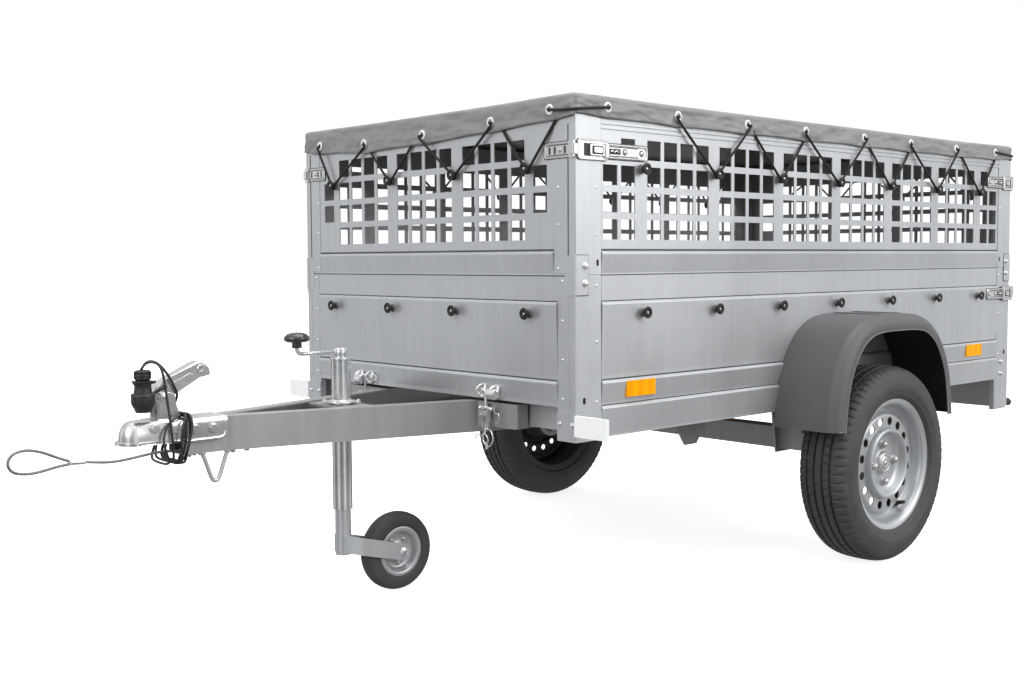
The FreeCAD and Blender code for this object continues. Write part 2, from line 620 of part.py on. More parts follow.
def cheek_plate():
    """One of the two upright plates that the hand lever turns between."""
    low = "handle_half + handle_gap"
    x = "%s + lever_pin_x" % FRONT
    plate = slab("cheek", "XZ_Plane", low, "%s + cheek_sheet" % low,
                 [[("%s + 18" % x, "%s - 5" % NECK_TOP), ("%s + 11" % x, "lever_pin_level"),
                   ("%s - 11" % x, "lever_pin_level"), ("%s - 30" % x, "lever_pin_level - 8"),
                   ("%s - 34" % x, "%s - 5" % NECK_TOP)]])
    eye = rod("cheek_eye", "y", (x, low, "lever_pin_level"), "11", "cheek_sheet")
    return joined("cheek_whole", [plate, eye])


# The hand lever in side view, from its nose over the top: ahead of the box's front, and up.
LEVER_OUTER = [(759, 546), (755, 560), (748, 573), (737, 582), (648, 623), (637, 622), (626, 610), (618, 595),
               (622, 586), (634, 590), (645, 598), (702, 560), (722, 540), (757, 540)]
LEVER_INNER = [(763, 530), (756, 546), (752, 558.5), (745.5, 570), (736, 578.8), (647, 619.8), (640, 618),
               (632, 606), (636, 594), (640, 590), (702, 548), (718, 530)]
LEVER_HOLE = (644, 604, 6)


def side_view(points):
    """Hand-chosen points ahead of the box's front, as places for a sketch."""
    return [("%s + %s" % (FRONT, x), str(z)) for x, z in points]


def handle():
    """The coupling's hand lever: a pressed channel that rises to the rear, with a turned-down tip."""
    lever = rounded(slab("lever", "XZ_Plane", "-handle_half", "handle_half", [side_view(LEVER_OUTER)]), "3",
                    crosswise)
    pocket(lever, "XZ_Plane", "handle_sheet - handle_half", "handle_half - handle_sheet",
           [side_view(LEVER_INNER)])
    x, level, radius = LEVER_HOLE
    hole = rod("lever_hole", "y", ("%s + %s" % (FRONT, x), "-handle_half - 1", str(level)), str(radius),
               "2 * handle_half + 2")
    pin = rod("lever_pin", "y", ("%s + lever_pin_x" % FRONT, "-handle_half - 6", "lever_pin_level"),
              "lever_pin", "2 * handle_half + 12")
    node(joined("coupling_handle", [less("lever_cut", lever, hole), pin]), "coupling_handle")


# the lead, its plug and the wire rope

# The plug's turned outline, from its face up to the gland: radius and level.
PLUG_PROFILE = [(0, 519), (15, 519), (17, 522), (25, 536), (25.5, 557), (20, 560), (17.5, 578), (23, 584),
                (23, 587), (14, 588), (17.5, 591), (17.5, 608), (15, 610), (0, 610)]

# The routes are hand-chosen points: behind or ahead of the box's front, across, and up.
NEAR_LEAD = [(791, 27, 611), (785, 29, 624), (770, 32, 629), (756, 36, 624), (749, 40, 611), (745, 42, 586),
             (741, 46, 541), (737, 53, 486.4)]
FAR_LEAD = [(787, 21, 611), (781, 20, 624), (765, 21, 631), (747, 23, 622), (729, 25, 599), (713, 24, 570),
            (704, 20, 552), (703, 9, 537), (709, 3, 519), (714, 3, 499.5)]
ROPE = [(700, 18, 425), (735, 26, 430), (772, 33, 430), (812, 34, 425), (850, 21, 419), (880, 6, 419),
        (907, 0, 423)]
ROPE_LOOP = [(939, 0, 428), (964, 0, 438), (994, 0, 453), (1025, 0, 462), (1053, 0, 458), (1066, 0, 444),
             (1064, 0, 425.5), (1049, 0, 414.5), (1020, 0, 411), (990, 0, 415), (962, 0, 420.5),
             (939, 0, 422)]
GUIDE = [(590, 30, 415.2), (600, 30, 396), (614, 30, 353), (630, 30, 353), (644, 30, 396), (654, 30, 415.2)]
COIL_SIDE = [(688, 522), (699, 522), (704, 503), (756, 474), (756, 432), (726, 398), (700, 398), (690, 440)]
BEND_SHARE = 0.45


def round_cord(name, route, radius):
    """A tube along straight runs joined by tangent arcs, as a lead or a rod lies."""
    front = size(FRONT)
    points = [FreeCAD.Vector(front + x, y, z) for x, y, z in route]
    edges = []
    start = points[0]
    radii = []
    for before, corner, after in zip(points, points[1:], points[2:]):
        inward = (before - corner).normalize()
        outward = (after - corner).normalize()
        reach = BEND_SHARE * min((before - corner).Length, (after - corner).Length)
        half_turn = (math.pi - inward.getAngle(outward)) / 2
        bend = reach / math.tan(half_turn)
        radii.append(round(bend))
        first = corner + inward * reach
        last = corner + outward * reach
        middle = (inward + outward).normalize()
        crest = corner + middle * (bend / math.cos(half_turn) - bend)
        edges += [Part.LineSegment(start, first).toShape(), Part.Arc(first, crest, last).toShape()]
        start = last
    edges.append(Part.LineSegment(start, points[-1]).toShape())
    spine = Part.Wire(edges)
    section = Part.Wire(Part.makeCircle(radius, points[0], points[1] - points[0]))
    tube = doc.addObject("Part::Feature", name)
    tube.Shape = Part.Solid(spine.makePipeShell([section], True, False).Shells[0])
    share = tube.Shape.Volume / (math.pi * radius ** 2 * spine.Length)
    print(name, "length", round(spine.Length), "radii", radii, "volume share", round(share, 3))
    return tube


def plug():
    """The lead's plug, hung by its strap from the hand lever."""
    profile = [(str(radius), str(level)) for radius, level in PLUG_PROFILE]
    body = turned("plug_body", "XZ_Plane", [profile], origin=("%s + plug_x" % FRONT, "plug_y", "0"))
    side = "handle_half + handle_gap + cheek_sheet + strap_gap"
    button_x = "%s + lever_pin_x - button_back" % FRONT
    button_level = "lever_pin_level + button_over"
    strap = slab("plug_strap", "XZ_Plane", side, "%s + strap_thick" % side,
                 [[("%s + plug_x - 20" % FRONT, "lever_pin_level"),
                   ("%s + plug_x - 20" % FRONT, "lever_pin_level + strap_tall"),
                   ("%s + 4" % button_x, "%s + 5" % button_level), ("%s - 3" % button_x, button_level),
                   (button_x, "%s - 5" % button_level)]])
    button = rod("strap_button", "y", (button_x, "handle_half", button_level), "button_radius",
                 "%s + strap_thick - handle_half" % side)
    node(joined("plug", [body, strap, button]), "plug")


def leads():
    """The two leads from the plug, and the hank that one of them makes round the drawbar's neck."""
    cord = size("cord_radius")
    node(round_cord("near_lead", NEAR_LEAD, cord), "near_lead")
    node(round_cord("far_lead", FAR_LEAD, cord), "far_lead")
    hank = slab("lead_hank", "XZ_Plane", "-neck_half - hank_out", "neck_half + hank_out",
                [side_view(COIL_SIDE)])
    pocket(hank, "YZ_Plane", "%s + hank_back" % FRONT, "%s + hank_ahead" % FRONT,
           [rectangle("-neck_half - lip_out - 1", "neck_half + lip_out + 1", "arm_low - 8",
                      "%s + 0.3" % NECK_TOP)])
    node(hank, "lead_hank")


def wire_rope():
    """The breakaway rope: clamped in the drawbar's tip, with a loop closed by a ferrule."""
    rope = size("rope_radius")
    node(round_cord("rope", ROPE, rope), "rope")
    node(round_cord("rope_loop", ROPE_LOOP, rope), "rope_loop")
    ferrule = rod("rope_ferrule", "x", ("%s + ferrule_back" % FRONT, "0", "425"), "ferrule_radius",
                  "ferrule_long")
    node(ferrule, "rope_ferrule")
    clamp = block("rope_clamp", ("%s + clamp_back" % FRONT, "%s + arm_tip_x" % FRONT),
                  ("clamp_inner", "clamp_outer"), ("arm_low + arm_sheet", "arm_low + arm_sheet + clamp_tall"))
    node(clamp, "rope_clamp")
    node(round_cord("cable_guide", GUIDE, size("guide_radius")), "cable_guide")


def jockey():
    """The jockey wheel: tube and screw on the drawbar, the sliding nut, the leg with its fork, the wheel."""
    hole = rod("tube_hole", "z", (JOCKEY_X, "0", "tube_low - 1"), "tube_bore", "tube_high - tube_low - 5")
    tube = rod("tube_body", "z", (JOCKEY_X, "0", "tube_low"), "tube_radius", "tube_high - tube_low")
    node(less("jockey_tube", tube, hole), "jockey_tube")
    screw = rod("jockey_screw", "z", (JOCKEY_X, "0", "tube_low + 70"), "screw_radius",
                "tube_high - 6 - tube_low - 70")
    node(screw, "jockey_screw")
    hub = rod("crank_hub", "z", (JOCKEY_X, "0", "tube_high"), "tube_radius - 8", "24")
    crank_end = "%s + crank_reach + 9" % JOCKEY_X
    arm = slab("crank_arm", "XZ_Plane", "-9", "9",
               [[(JOCKEY_X, "tube_high + 19"), ("%s + 22" % JOCKEY_X, "tube_high + 19"),
                 ("%s + 40" % JOCKEY_X, "tube_high + 12"), (crank_end, "tube_high + 12"),
                 (crank_end, "tube_high + 17"), ("%s + 42" % JOCKEY_X, "tube_high + 17"),
                 ("%s + 24" % JOCKEY_X, "tube_high + 24"), (JOCKEY_X, "tube_high + 24")]])
    knob = rod("crank_knob", "z", ("%s + crank_reach" % JOCKEY_X, "0", "tube_high + 16"), "knob_radius",
               "knob_long")
    node(joined("jockey_crank", [hub, arm, knob]), "jockey_crank")
    nut = less("jockey_nut", rod("nut_body", "z", (JOCKEY_X, "0", "leg_high - 50"), "nut_radius", "30"),
               rod("nut_bore", "z", (JOCKEY_X, "0", "leg_high - 51"), "screw_radius + pin_clear", "32"))
    node(nut, "jockey_nut")
    leg = less("leg_tube",
               rod("leg_body", "z", (JOCKEY_X, "0", "leg_low"), "leg_radius", "leg_high - leg_low"),
               rod("leg_hole", "z", (JOCKEY_X, "0", "leg_low + 6"), "leg_bore", "leg_high - leg_low"))
    axle_x = "%s - trail" % JOCKEY_X
    inner = "(jockey_width / 2 + fork_gap)"
    root = "(leg_radius - fork_sheet / 2)"
    strap = slab("fork_strap", "XY_Plane", "leg_low + 1", "leg_low + 1 + fork_tall",
                 [[(JOCKEY_X, root), ("%s - fork_neck" % JOCKEY_X, inner), ("%s - fork_past" % axle_x, inner),
                   ("%s - fork_past" % axle_x, "%s + fork_sheet" % inner),
                   ("%s - fork_neck + 1" % JOCKEY_X, "%s + fork_sheet" % inner),
                   (JOCKEY_X, "%s + fork_sheet" % root)]])
    bolt = rod("fork_axle", "y", (axle_x, "-(%s + fork_sheet + bolt_out)" % inner, "jockey_radius"),
               "jockey_axle", "2 * (%s + fork_sheet + bolt_out)" % inner)
    node(joined("jockey_leg", [leg, strap, mirrored("fork_strap_right", strap), bolt]), "jockey_leg")
    half = "jockey_width / 2"
    rim = "jockey_rim"
    tyre = turned("jockey_tyre", "XY_Plane",
                  [[(rim, "-%s + 3" % half), ("jockey_radius - 10", "-%s" % half),
                    ("jockey_radius", "-%s + 8" % half), ("jockey_radius", "%s - 8" % half),
                    ("jockey_radius - 10", half), (rim, "%s - 3" % half)]],
                  origin=(axle_x, "0", "jockey_radius"))
    node(tyre, "jockey_tyre")
    disc = turned("jockey_rim", "XY_Plane",
                  [[("jockey_axle + pin_clear", "-%s - 3" % half), ("18", "-%s - 3" % half), ("20", "-7"),
                    ("%s - 19" % rim, "-5"), ("%s - 5" % rim, "-%s + 3" % half), (rim, "-%s + 3" % half),
                    (rim, "%s - 3" % half), ("%s - 5" % rim, "%s - 3" % half), ("%s - 19" % rim, "5"),
                    ("20", "7"), ("18", "%s + 3" % half), ("jockey_axle + pin_clear", "%s + 3" % half)]],
                  origin=(axle_x, "0", "jockey_radius"))
    node(disc, "jockey_rim")


def wheel():
    """Tyre, dished steel rim with a ring of holes, and the hub that turns on the stub axle."""
    centre = (WHEEL_X, TRACK, "tyre_radius")
    half = "tyre_width / 2"
    tyre = turned("tyre_left", "XY_Plane",
                  [[("bead_seat", "-rim_half + 12"), ("rim_radius", "-rim_half + 4"),
                    ("rim_radius + 36", "-%s" % half), ("tyre_radius - 9", "-%s + 9" % half),
                    ("tyre_radius", "-%s + 30" % half), ("tyre_radius", "%s - 30" % half),
                    ("tyre_radius - 9", "%s - 9" % half), ("rim_radius + 36", half),
                    ("rim_radius", "rim_half - 4"), ("bead_seat", "rim_half - 12")]], origin=centre)
    node(tyre, "tyre_left")
    node(mirrored("tyre_right", tyre), "tyre_right")
    face = "face_out"
    rim = turned("rim_left", "XY_Plane",
                 [[("cap_radius + 2", face), ("cap_radius + 2", "%s + 4" % face),
                   ("hub_radius + 12", "%s + 4" % face),
                   ("hub_radius + 24", "%s + 16" % face), ("bead_seat - 42", "%s + 14" % face),
                   ("bead_seat - 6", "%s - 10" % face), ("bead_seat - 6", "rim_half - 8"),
                   ("rim_radius - 3", "rim_half"), ("rim_radius", "rim_half - 4"),
                   ("bead_seat", "rim_half - 12"), ("bead_seat", "-rim_half + 12"),
                   ("rim_radius", "-rim_half + 4"), ("bead_seat - 5", "-rim_half + 9"),
                   ("bead_seat - 5", "%s - 15" % face), ("bead_seat - 44", "%s + 10" % face),
                   ("hub_radius + 26", "%s + 12" % face), ("hub_radius + 14", face)]])
    vent = pocket(rim, "XZ_Plane", face, "%s + 20" % face, [("circle", "0", "vent_ring", "vent_radius")])
    ring = rim.newObject("PartDesign::PolarPattern", "VentRing")
    ring.Originals = [vent]
    ring.Axis = (vent.Profile[0], ["N_Axis"])
    ring.Angle = 360
    ring.Occurrences = 16
    rim.Tip = ring
    moved(rim, centre)
    node(rim, "rim_left")
    node(mirrored("rim_right", rim), "rim_right")
    hub = turned("hub_left", "XY_Plane",
                 [[("stub_radius + hub_clear", "-hub_back"), ("36", "-hub_back"),
                   ("38", "%s - 9" % face), ("hub_radius", "%s - 9" % face), ("hub_radius", face),
                   ("cap_radius", face), ("cap_radius", "%s + 12" % face),
                   ("cap_radius - 10", "%s + 21" % face), ("0", "%s + 21" % face),
                   ("0", "%s - 6" % face), ("stub_radius + hub_clear", "%s - 6" % face)]], origin=centre)
    node(hub, "hub_left")
    node(mirrored("hub_right", hub), "hub_right")


def arch(inset, foot):
    """The fender's side outline, drawn in by an inset."""
    right = [("fender_half - %s" % inset, foot),
             ("fender_half - fender_lean - %s" % inset, "fender_shoulder - 0.4 * %s" % inset),
             ("fender_flat - 0.4 * %s" % inset, "fender_top - %s" % inset)]
    points = [("%s + %s" % (WHEEL_X, x), z) for x, z in right]
    points += [("%s - (%s)" % (WHEEL_X, x), z) for x, z in reversed(right)]
    return points


def arch_form(name, inset, foot, low, high):
    form = slab(name, "XZ_Plane", low, high, [arch(inset, foot)])
    above = size("fender_foot") + 1
    return rounded(form, "fender_round - %s" % inset,
                   lambda edge: crosswise(edge) and edge.CenterOfMass.z > above)


def outer_rim(level, foot):
    """A test for the long outline of a fender's outer face, without its foot."""
    def test(edge):
        points = ends(edge)
        return all(abs(point.y - level) < 0.01 for point in points) and edge.CenterOfMass.z > foot + 1
    return test


def fenders():
    """A moulded shell over the wheel: rounded in side view, with a soft outer edge and an open arch."""
    foot = size("fender_foot")
    outer = arch_form("fender_outer", "0", "fender_foot", HALF, FENDER_Y)
    rounded(outer, "fender_edge", outer_rim(size(FENDER_Y), foot))
    inner = arch_form("fender_inner", "fender_sheet", "fender_foot - 1", "%s - 1" % HALF,
                      "%s - fender_sheet" % FENDER_Y)
    rounded(inner, "fender_edge - fender_sheet", outer_rim(size("%s - fender_sheet" % FENDER_Y), foot - 1))
    opening = arch_form("fender_arch", "fender_skirt", "fender_foot - 2", "%s - 2 * fender_edge" % FENDER_Y,
                        "%s + 1" % FENDER_Y)
    shell = less("fender_shell", less("fender_hollow", outer, inner), opening)
    ribs = [block("rib", ("%s + %d * rib_pitch - rib_wide / 2" % (WHEEL_X, side),
                          "%s + %d * rib_pitch + rib_wide / 2" % (WHEEL_X, side)),
                  ("%s + fender_edge" % HALF, "%s - 2 * fender_edge" % FENDER_Y),
                  ("fender_top - fender_sheet", "fender_top + rib_high")) for side in (0, 1)]
    left = joined("fender_left", [shell] + ribs)
    node(left, "fender_left")
    node(mirrored("fender_right", left), "fender_right")


def cover():
    """The flat cover: its top on the panels' rims, and the four skirts that hang over them."""
    top = "panel_top + cover_rise"
    foot = "%s - cover_skirt" % top
    reach = "(cover_ease + cover_sheet)"
    lid = block("cover_top", ("%s - %s" % (REAR, reach), "%s + %s" % (FRONT, reach)),
                ("-(%s + %s)" % (HALF, reach), "%s + %s" % (HALF, reach)), ("panel_top", top))
    side = block("cover_side", ("%s - cover_ease" % REAR, "%s + cover_ease" % FRONT),
                 ("%s + cover_ease" % HALF, "%s + %s" % (HALF, reach)), (foot, "panel_top"))
    front = block("cover_front", ("%s + cover_ease" % FRONT, "%s + %s" % (FRONT, reach)),
                  ("-(%s + %s)" % (HALF, reach), "%s + %s" % (HALF, reach)), (foot, "panel_top"))
    rear = block("cover_rear", ("%s - %s" % (REAR, reach), "%s - cover_ease" % REAR),
                 ("-(%s + %s)" % (HALF, reach), "%s + %s" % (HALF, reach)), (foot, "panel_top"))
    node(joined("cover", [lid, side, mirrored("cover_far_side", side), front, rear]), "cover")


def tail():
    """The rear board under the box with its lamps, and the rubber buffers on the posts' feet."""
    back = "%s + board_gap" % REAR
    plate = block("rear_board", (back, "%s + board_sheet" % back), ("-%s" % INNER, INNER),
                  ("board_foot", "board_top"))
    node(plate, "rear_board")
    lamp = slab("tail_lamp", "YZ_Plane", "%s - lamp_deep" % back, back,
                [rectangle("%s - lamp_in - lamp_long" % HALF, "%s - lamp_in" % HALF, "board_foot + 6",
                           "board_foot + 6 + lamp_tall")])
    rear_face = size("%s - lamp_deep" % back)
    rounded(lamp, "lamp_round", lambda edge: all(abs(point.x - rear_face) < 0.01 for point in ends(edge)))
    both_sides("tail_lamps", [lamp])
    number = block("plate_holder", ("%s - plate_deep" % back, back), ("-plate_wide / 2", "plate_wide / 2"),
                   ("board_foot + 4", "board_foot + 4 + plate_tall"))
    node(number, "plate_holder")
    buffer = block("buffer", ("%s - buffer_reach" % REAR, REAR), ("%s + 1" % INNER, "%s - 1" % HALF),
                   ("rear_post_foot + 2", "rear_post_foot + 30"))
    both_sides("rear_buffers", [buffer])


def along(face, sign, near, far):
    """Two places behind an end face of the box, the lower first."""
    span = ("%s %s (%s)" % (face, sign, far), "%s %s (%s)" % (face, sign, near))
    return span if sign == "-" else span[::-1]


def toggle_latch(name, face, sign, level):
    """A strap with its lever on the side wall, and the hook that it pulls round the corner."""
    tall = ("%s - latch_tall / 2" % level, "%s + latch_tall / 2" % level)
    strap = block("strap", along(face, sign, "latch_near", "latch_near + latch_long"),
                  (HALF, "%s + 3" % HALF), tall)
    lever = slab("lever_pad", "XY_Plane", "%s - latch_tall / 3" % level, "%s + latch_tall / 3" % level,
                 [[("%s %s latch_near" % (face, sign), "%s + 2" % HALF),
                   ("%s %s latch_near" % (face, sign), "%s + latch_out" % HALF),
                   ("%s %s (latch_near + 62)" % (face, sign), "%s + 5" % HALF),
                   ("%s %s (latch_near + 62)" % (face, sign), "%s + 2" % HALF)]])
    bail = block("bail", along(face, sign, "-latch_out", "latch_near + 4"), (HALF, "%s + 8" % HALF),
                 ("%s - 12" % level, "%s + 12" % level))
    hook = block("hook", along(face, sign, "-latch_out", "0"), ("%s - 12" % HALF, "%s + 8" % HALF),
                 ("%s - 12" % level, "%s + 12" % level))
    return joined(name, [strap, lever, bail, hook])


def corner_latches():
    """Latches that draw the upper panels together at the corners, with their keepers on the ends."""
    pieces = []
    level = "(panel_top - latch_drop)"
    for face, sign in ((FRONT, "-"), (REAR, "+")):
        pieces.append(toggle_latch("corner_latch", face, sign, level))
        pieces.append(block("latch_keeper", along(face, sign, "-4", "0"),
                            ("%s - 96" % HALF, "%s - 14" % HALF), ("%s - 17" % level, "%s + 17" % level)))
    both_sides("corner_latches", pieces)
    both_sides("gate_latches", [toggle_latch("gate_latch", REAR, "+", "gate_latch")])


def tip_latches():
    """What holds the box down on the drawbar: latches on the front wall, and the stops beside the arms."""
    y0 = "tip_latch_y - toggle_wide / 2"
    y1 = "tip_latch_y + toggle_wide / 2"
    plate = block("tip_plate", (FRONT, "%s + 4" % FRONT),
                  ("tip_latch_y - tip_plate_wide / 2", "tip_latch_y + tip_plate_wide / 2"),
                  ("front_level", "front_level + tip_plate_tall"))
    eye = rod("tip_eye", "x", (FRONT, "tip_latch_y", "front_level + tip_plate_tall / 2"), "eye_radius",
              "eye_long")
    draw = rod("tip_rod", "z", ("%s + (toggle_in + toggle_out) / 2" % FRONT, "tip_latch_y",
                                "toggle_foot + toggle_tall / 2"), "draw_radius",
               "front_level + eye_radius - toggle_foot - toggle_tall / 2")
    toggle = slab("toggle", "YZ_Plane", "%s + toggle_in" % FRONT, "%s + toggle_out" % FRONT,
                  [[(y0, "toggle_foot + toggle_tall"), ("%s + toggle_taper" % y0, "toggle_foot"),
                    ("%s - toggle_taper" % y1, "toggle_foot"), (y1, "toggle_foot + toggle_tall")]])
    both_sides("tip_latches", [joined("tip_latch", [plate, eye, draw, toggle])])
    back = "stop_front + stop_deep"
    stop = slab("box_stop", "XY_Plane", "stop_low", "arm_high",
                [[("%s - stop_front" % FRONT, arm_line("stop_front", "0")),
                  ("%s - stop_front" % FRONT, "stop_end - 6"), ("%s - stop_front - 6" % FRONT, "stop_end"),
                  ("%s - (%s)" % (FRONT, back), "stop_end"),
                  ("%s - (%s)" % (FRONT, back), arm_line(back, "0"))]])
    both_sides("box_stops", [stop])


def reflectors():
    amber = [block("amber", along(face, sign, low, "%s + reflector_long" % low),
                   (HALF, "%s + reflector_deep" % HALF), ("amber_level", "amber_level + reflector_tall"))
             for face, sign, low in ((FRONT, "-", "amber_front"), (REAR, "+", "amber_rear"))]
    both_sides("side_reflectors", amber)
    white = block("white", ("%s - 3" % FRONT, "%s + reflector_deep" % FRONT),
                  ("%s + plate_sheet" % HALF, "%s + plate_sheet + reflector_long" % HALF),
                  ("white_level", "white_level + white_tall"))
    both_sides("front_reflectors", [white])


floor()
side_walls()
front_wall()
corner_posts()
corner_plates()
mesh_side()
mesh_end("mesh_panel_front", FRONT, "-")
mesh_end("mesh_panel_rear", REAR, "+")
tailgate()
drawbar()
cross_member()
axle()
axle_brackets()
tip_ears()
coupling()
handle()
plug()
leads()
wire_rope()
jockey()
wheel()
fenders()
cover()
tail()
corner_latches()
tip_latches()
reflectors()

doc.recompute()
for thing in doc.Objects:
    if "Invalid" in thing.State or "Error" in thing.State:
        raise RuntimeError("%s did not build: %s" % (thing.Label, thing.State))
os.makedirs("parts", exist_ok=True)
for thing in NODES:
    if thing.Shape.isNull() or not thing.Shape.isValid():
        raise RuntimeError("%s is not a sound shape" % thing.Label)
    thing.Shape.exportStep("parts/%s.step" % thing.Label)
    print(thing.Label, len(thing.Shape.Solids), round(thing.Shape.Volume))
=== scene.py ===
import json
import math

import bmesh
import bpy
from mathutils import Matrix, Vector, noise


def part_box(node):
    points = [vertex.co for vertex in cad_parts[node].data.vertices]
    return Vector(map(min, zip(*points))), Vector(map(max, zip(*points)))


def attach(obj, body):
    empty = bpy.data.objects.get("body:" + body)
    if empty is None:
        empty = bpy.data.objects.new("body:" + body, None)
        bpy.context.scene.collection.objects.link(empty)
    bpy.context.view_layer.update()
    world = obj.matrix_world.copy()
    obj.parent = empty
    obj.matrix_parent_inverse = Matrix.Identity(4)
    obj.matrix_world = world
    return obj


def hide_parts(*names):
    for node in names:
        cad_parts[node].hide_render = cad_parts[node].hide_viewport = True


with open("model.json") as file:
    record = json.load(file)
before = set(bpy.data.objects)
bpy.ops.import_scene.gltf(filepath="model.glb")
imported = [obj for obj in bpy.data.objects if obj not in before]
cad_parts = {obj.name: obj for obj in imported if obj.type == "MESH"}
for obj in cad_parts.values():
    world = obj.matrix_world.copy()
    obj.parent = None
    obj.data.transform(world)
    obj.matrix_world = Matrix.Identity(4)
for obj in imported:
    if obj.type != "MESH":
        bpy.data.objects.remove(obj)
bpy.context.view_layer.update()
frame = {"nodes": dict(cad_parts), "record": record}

MM = 0.001
AHEAD, LEFT, UP = (Vector(way) for way in ((1, 0, 0), (0, 1, 0), (0, 0, 1)))
SIDES = [(1, LEFT), (-1, -LEFT)]    # the sign of each side, with the way out
MIDDLE = (0.3, 0.7)    # where most of a noise's values lie
POLE = 0.001    # the smallest radius of a turned shape, in millimetres

# Places read from the frame, in metres.
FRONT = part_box("front_wall")[1].x
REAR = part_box("tailgate")[0].x
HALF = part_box("side_wall_left")[1].y
PANEL_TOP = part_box("mesh_panel_left")[1].z


class Wire:
    """A shader socket that can be added, multiplied and compared like a number."""

    tree = None

    def __init__(self, socket):
        self.socket = socket

    def _math(self, operation, *others):
        return node("ShaderNodeMath", {"operation": operation}, [self, *others])

    def __add__(self, other):
        return self._math("ADD", other)

    __radd__ = __add__

    def __mul__(self, other):
        return self._math("MULTIPLY", other)

    __rmul__ = __mul__

    def __sub__(self, other):
        return self._math("SUBTRACT", other)

    def __rsub__(self, other):
        return node("ShaderNodeMath", {"operation": "SUBTRACT"}, [other, self])

    def ramp(self, low, high, first=0.0, last=1.0):
        """This value carried from low..high to first..last, held at the ends."""
        return node("ShaderNodeMapRange", {"clamp": True}, [self, low, high, first, last])


def node(kind, settings, values, out=0):
    """Make one shader node, set it up, feed its sockets and give the wire that leaves it."""
    made = Wire.tree.nodes.new(kind)
    for name, value in settings.items():
        setattr(made, name, value)
    for name, value in values.items() if isinstance(values, dict) else enumerate(values):
        if isinstance(value, Wire):
            Wire.tree.links.new(value.socket, made.inputs[name])
        else:
            made.inputs[name].default_value = value
    return Wire(made.outputs[out])


def place():
    return node("ShaderNodeTexCoord", {}, {}, "Object")


def clouds(scale, detail=3.0, where=None, rough=0.5):
    values = {"Vector": where or place(), "Scale": scale, "Detail": detail, "Roughness": rough}
    return node("ShaderNodeTexNoise", {}, values)


def cells(scale, out="Distance"):
    return node("ShaderNodeTexVoronoi", {}, {"Vector": place(), "Scale": scale}, out)


def bands(direction, scale):
    settings = {"wave_type": "BANDS", "bands_direction": direction}
    return node("ShaderNodeTexWave", settings, {"Vector": place(), "Scale": scale}, 1)


def mixed(factor, first, second):
    """A colour between two, by a wire."""
    made = Wire.tree.nodes.new("ShaderNodeMix")
    made.data_type = "RGBA"
    Wire.tree.links.new(factor.socket, made.inputs["Factor"])
    for name, value in (("A", first), ("B", second)):
        socket = [s for s in made.inputs if s.name == name and s.type == "RGBA"][0]
        if isinstance(value, Wire):
            Wire.tree.links.new(value.socket, socket)
        else:
            socket.default_value = (*value, 1)
    return Wire([s for s in made.outputs if s.type == "RGBA"][0])


def bump(height, strength, distance):
    return node("ShaderNodeBump", {}, {"Strength": strength, "Distance": distance, "Height": height})


def finish(name, build, **fixed):
    """A material: fixed values go on the shader, and build gives the wires that vary."""
    made = bpy.data.materials.new(name)
    made.use_nodes = True
    Wire.tree = made.node_tree
    shader = made.node_tree.nodes["Principled BSDF"]
    for socket, value in fixed.items():
        shader.inputs[socket.replace("_", " ")].default_value = value
    for socket, wire in build().items():
        made.node_tree.links.new(wire.socket, shader.inputs[socket])
    return made


def sheet_steel(dark, light, rough_low, rough_high):
    """Zinc-coated steel: faint clouds, upright streaks and fine crystals between two tones."""
    def build():
        cloud = clouds(4.0, 4.0).ramp(*MIDDLE)
        tall = node("ShaderNodeVectorMath", {"operation": "MULTIPLY"}, [place(), (1.0, 1.0, 0.06)])
        streaks = clouds(55.0, 3.0, tall).ramp(*MIDDLE)
        crystal = node("ShaderNodeSeparateColor", {}, [cells(300.0, "Color")])
        fine = clouds(900.0, 2.0)
        tone = cloud * 0.40 + streaks * 0.30 + crystal * 0.12 + fine * 0.18
        return {"Base Color": mixed(tone, dark, light),
                "Roughness": cloud * (rough_high - rough_low) + rough_low + crystal * 0.04,
                "Normal": bump(fine + crystal * 0.3, 0.06, 0.0003)}
    return build


def toned(pattern, dark, light, rough, relief=None, span=MIDDLE):
    """Two tones and two degrees of roughness by a pattern; relief is a bump's height, strength and reach."""
    def build():
        spots = pattern()
        wires = {"Base Color": mixed(spots.ramp(*span), dark, light), "Roughness": spots.ramp(*span, *rough)}
        if relief:
            height, strength, distance = relief
            wires["Normal"] = bump(height(), strength, distance)
        return wires
    return build


def plain(scale, dark, light):
    """Nearly one colour, for what lies in shade or isn't looked at closely."""
    return lambda: {"Base Color": mixed(clouds(scale), dark, light)}


def silver_paint():
    flake = cells(1800.0)
    colour = mixed(flake.ramp(0.1, 0.5), (0.40, 0.41, 0.42), (0.47, 0.48, 0.49))
    return {"Base Color": colour, "Roughness": clouds(40.0).ramp(*MIDDLE, 0.34, 0.42),
            "Normal": bump(clouds(500.0), 0.02, 0.0002)}


def tarpaulin():
    """Grey coated fabric: a fine weave under the coating, slanted creases and softly uneven tone."""
    cloud = clouds(9.0, 4.0)
    slant = {"Vector": place(), "Rotation": (0.5, 0.4, 0.5), "Scale": (1.0, 1.0, 3.2)}
    slanted = node("ShaderNodeMapping", {}, slant)
    crease = clouds(11.0, 1.5, slanted, 0.4).ramp(*MIDDLE) * 9.0 + clouds(60.0) * 0.6
    return {"Base Color": mixed(cloud.ramp(*MIDDLE), (0.228, 0.230, 0.230), (0.250, 0.251, 0.250)),
            "Roughness": cloud.ramp(*MIDDLE, 0.32, 0.40),
            "Normal": bump(crease + bands("X", 260.0) * 0.1 + bands("Y", 260.0) * 0.1, 0.5, 0.0012)}


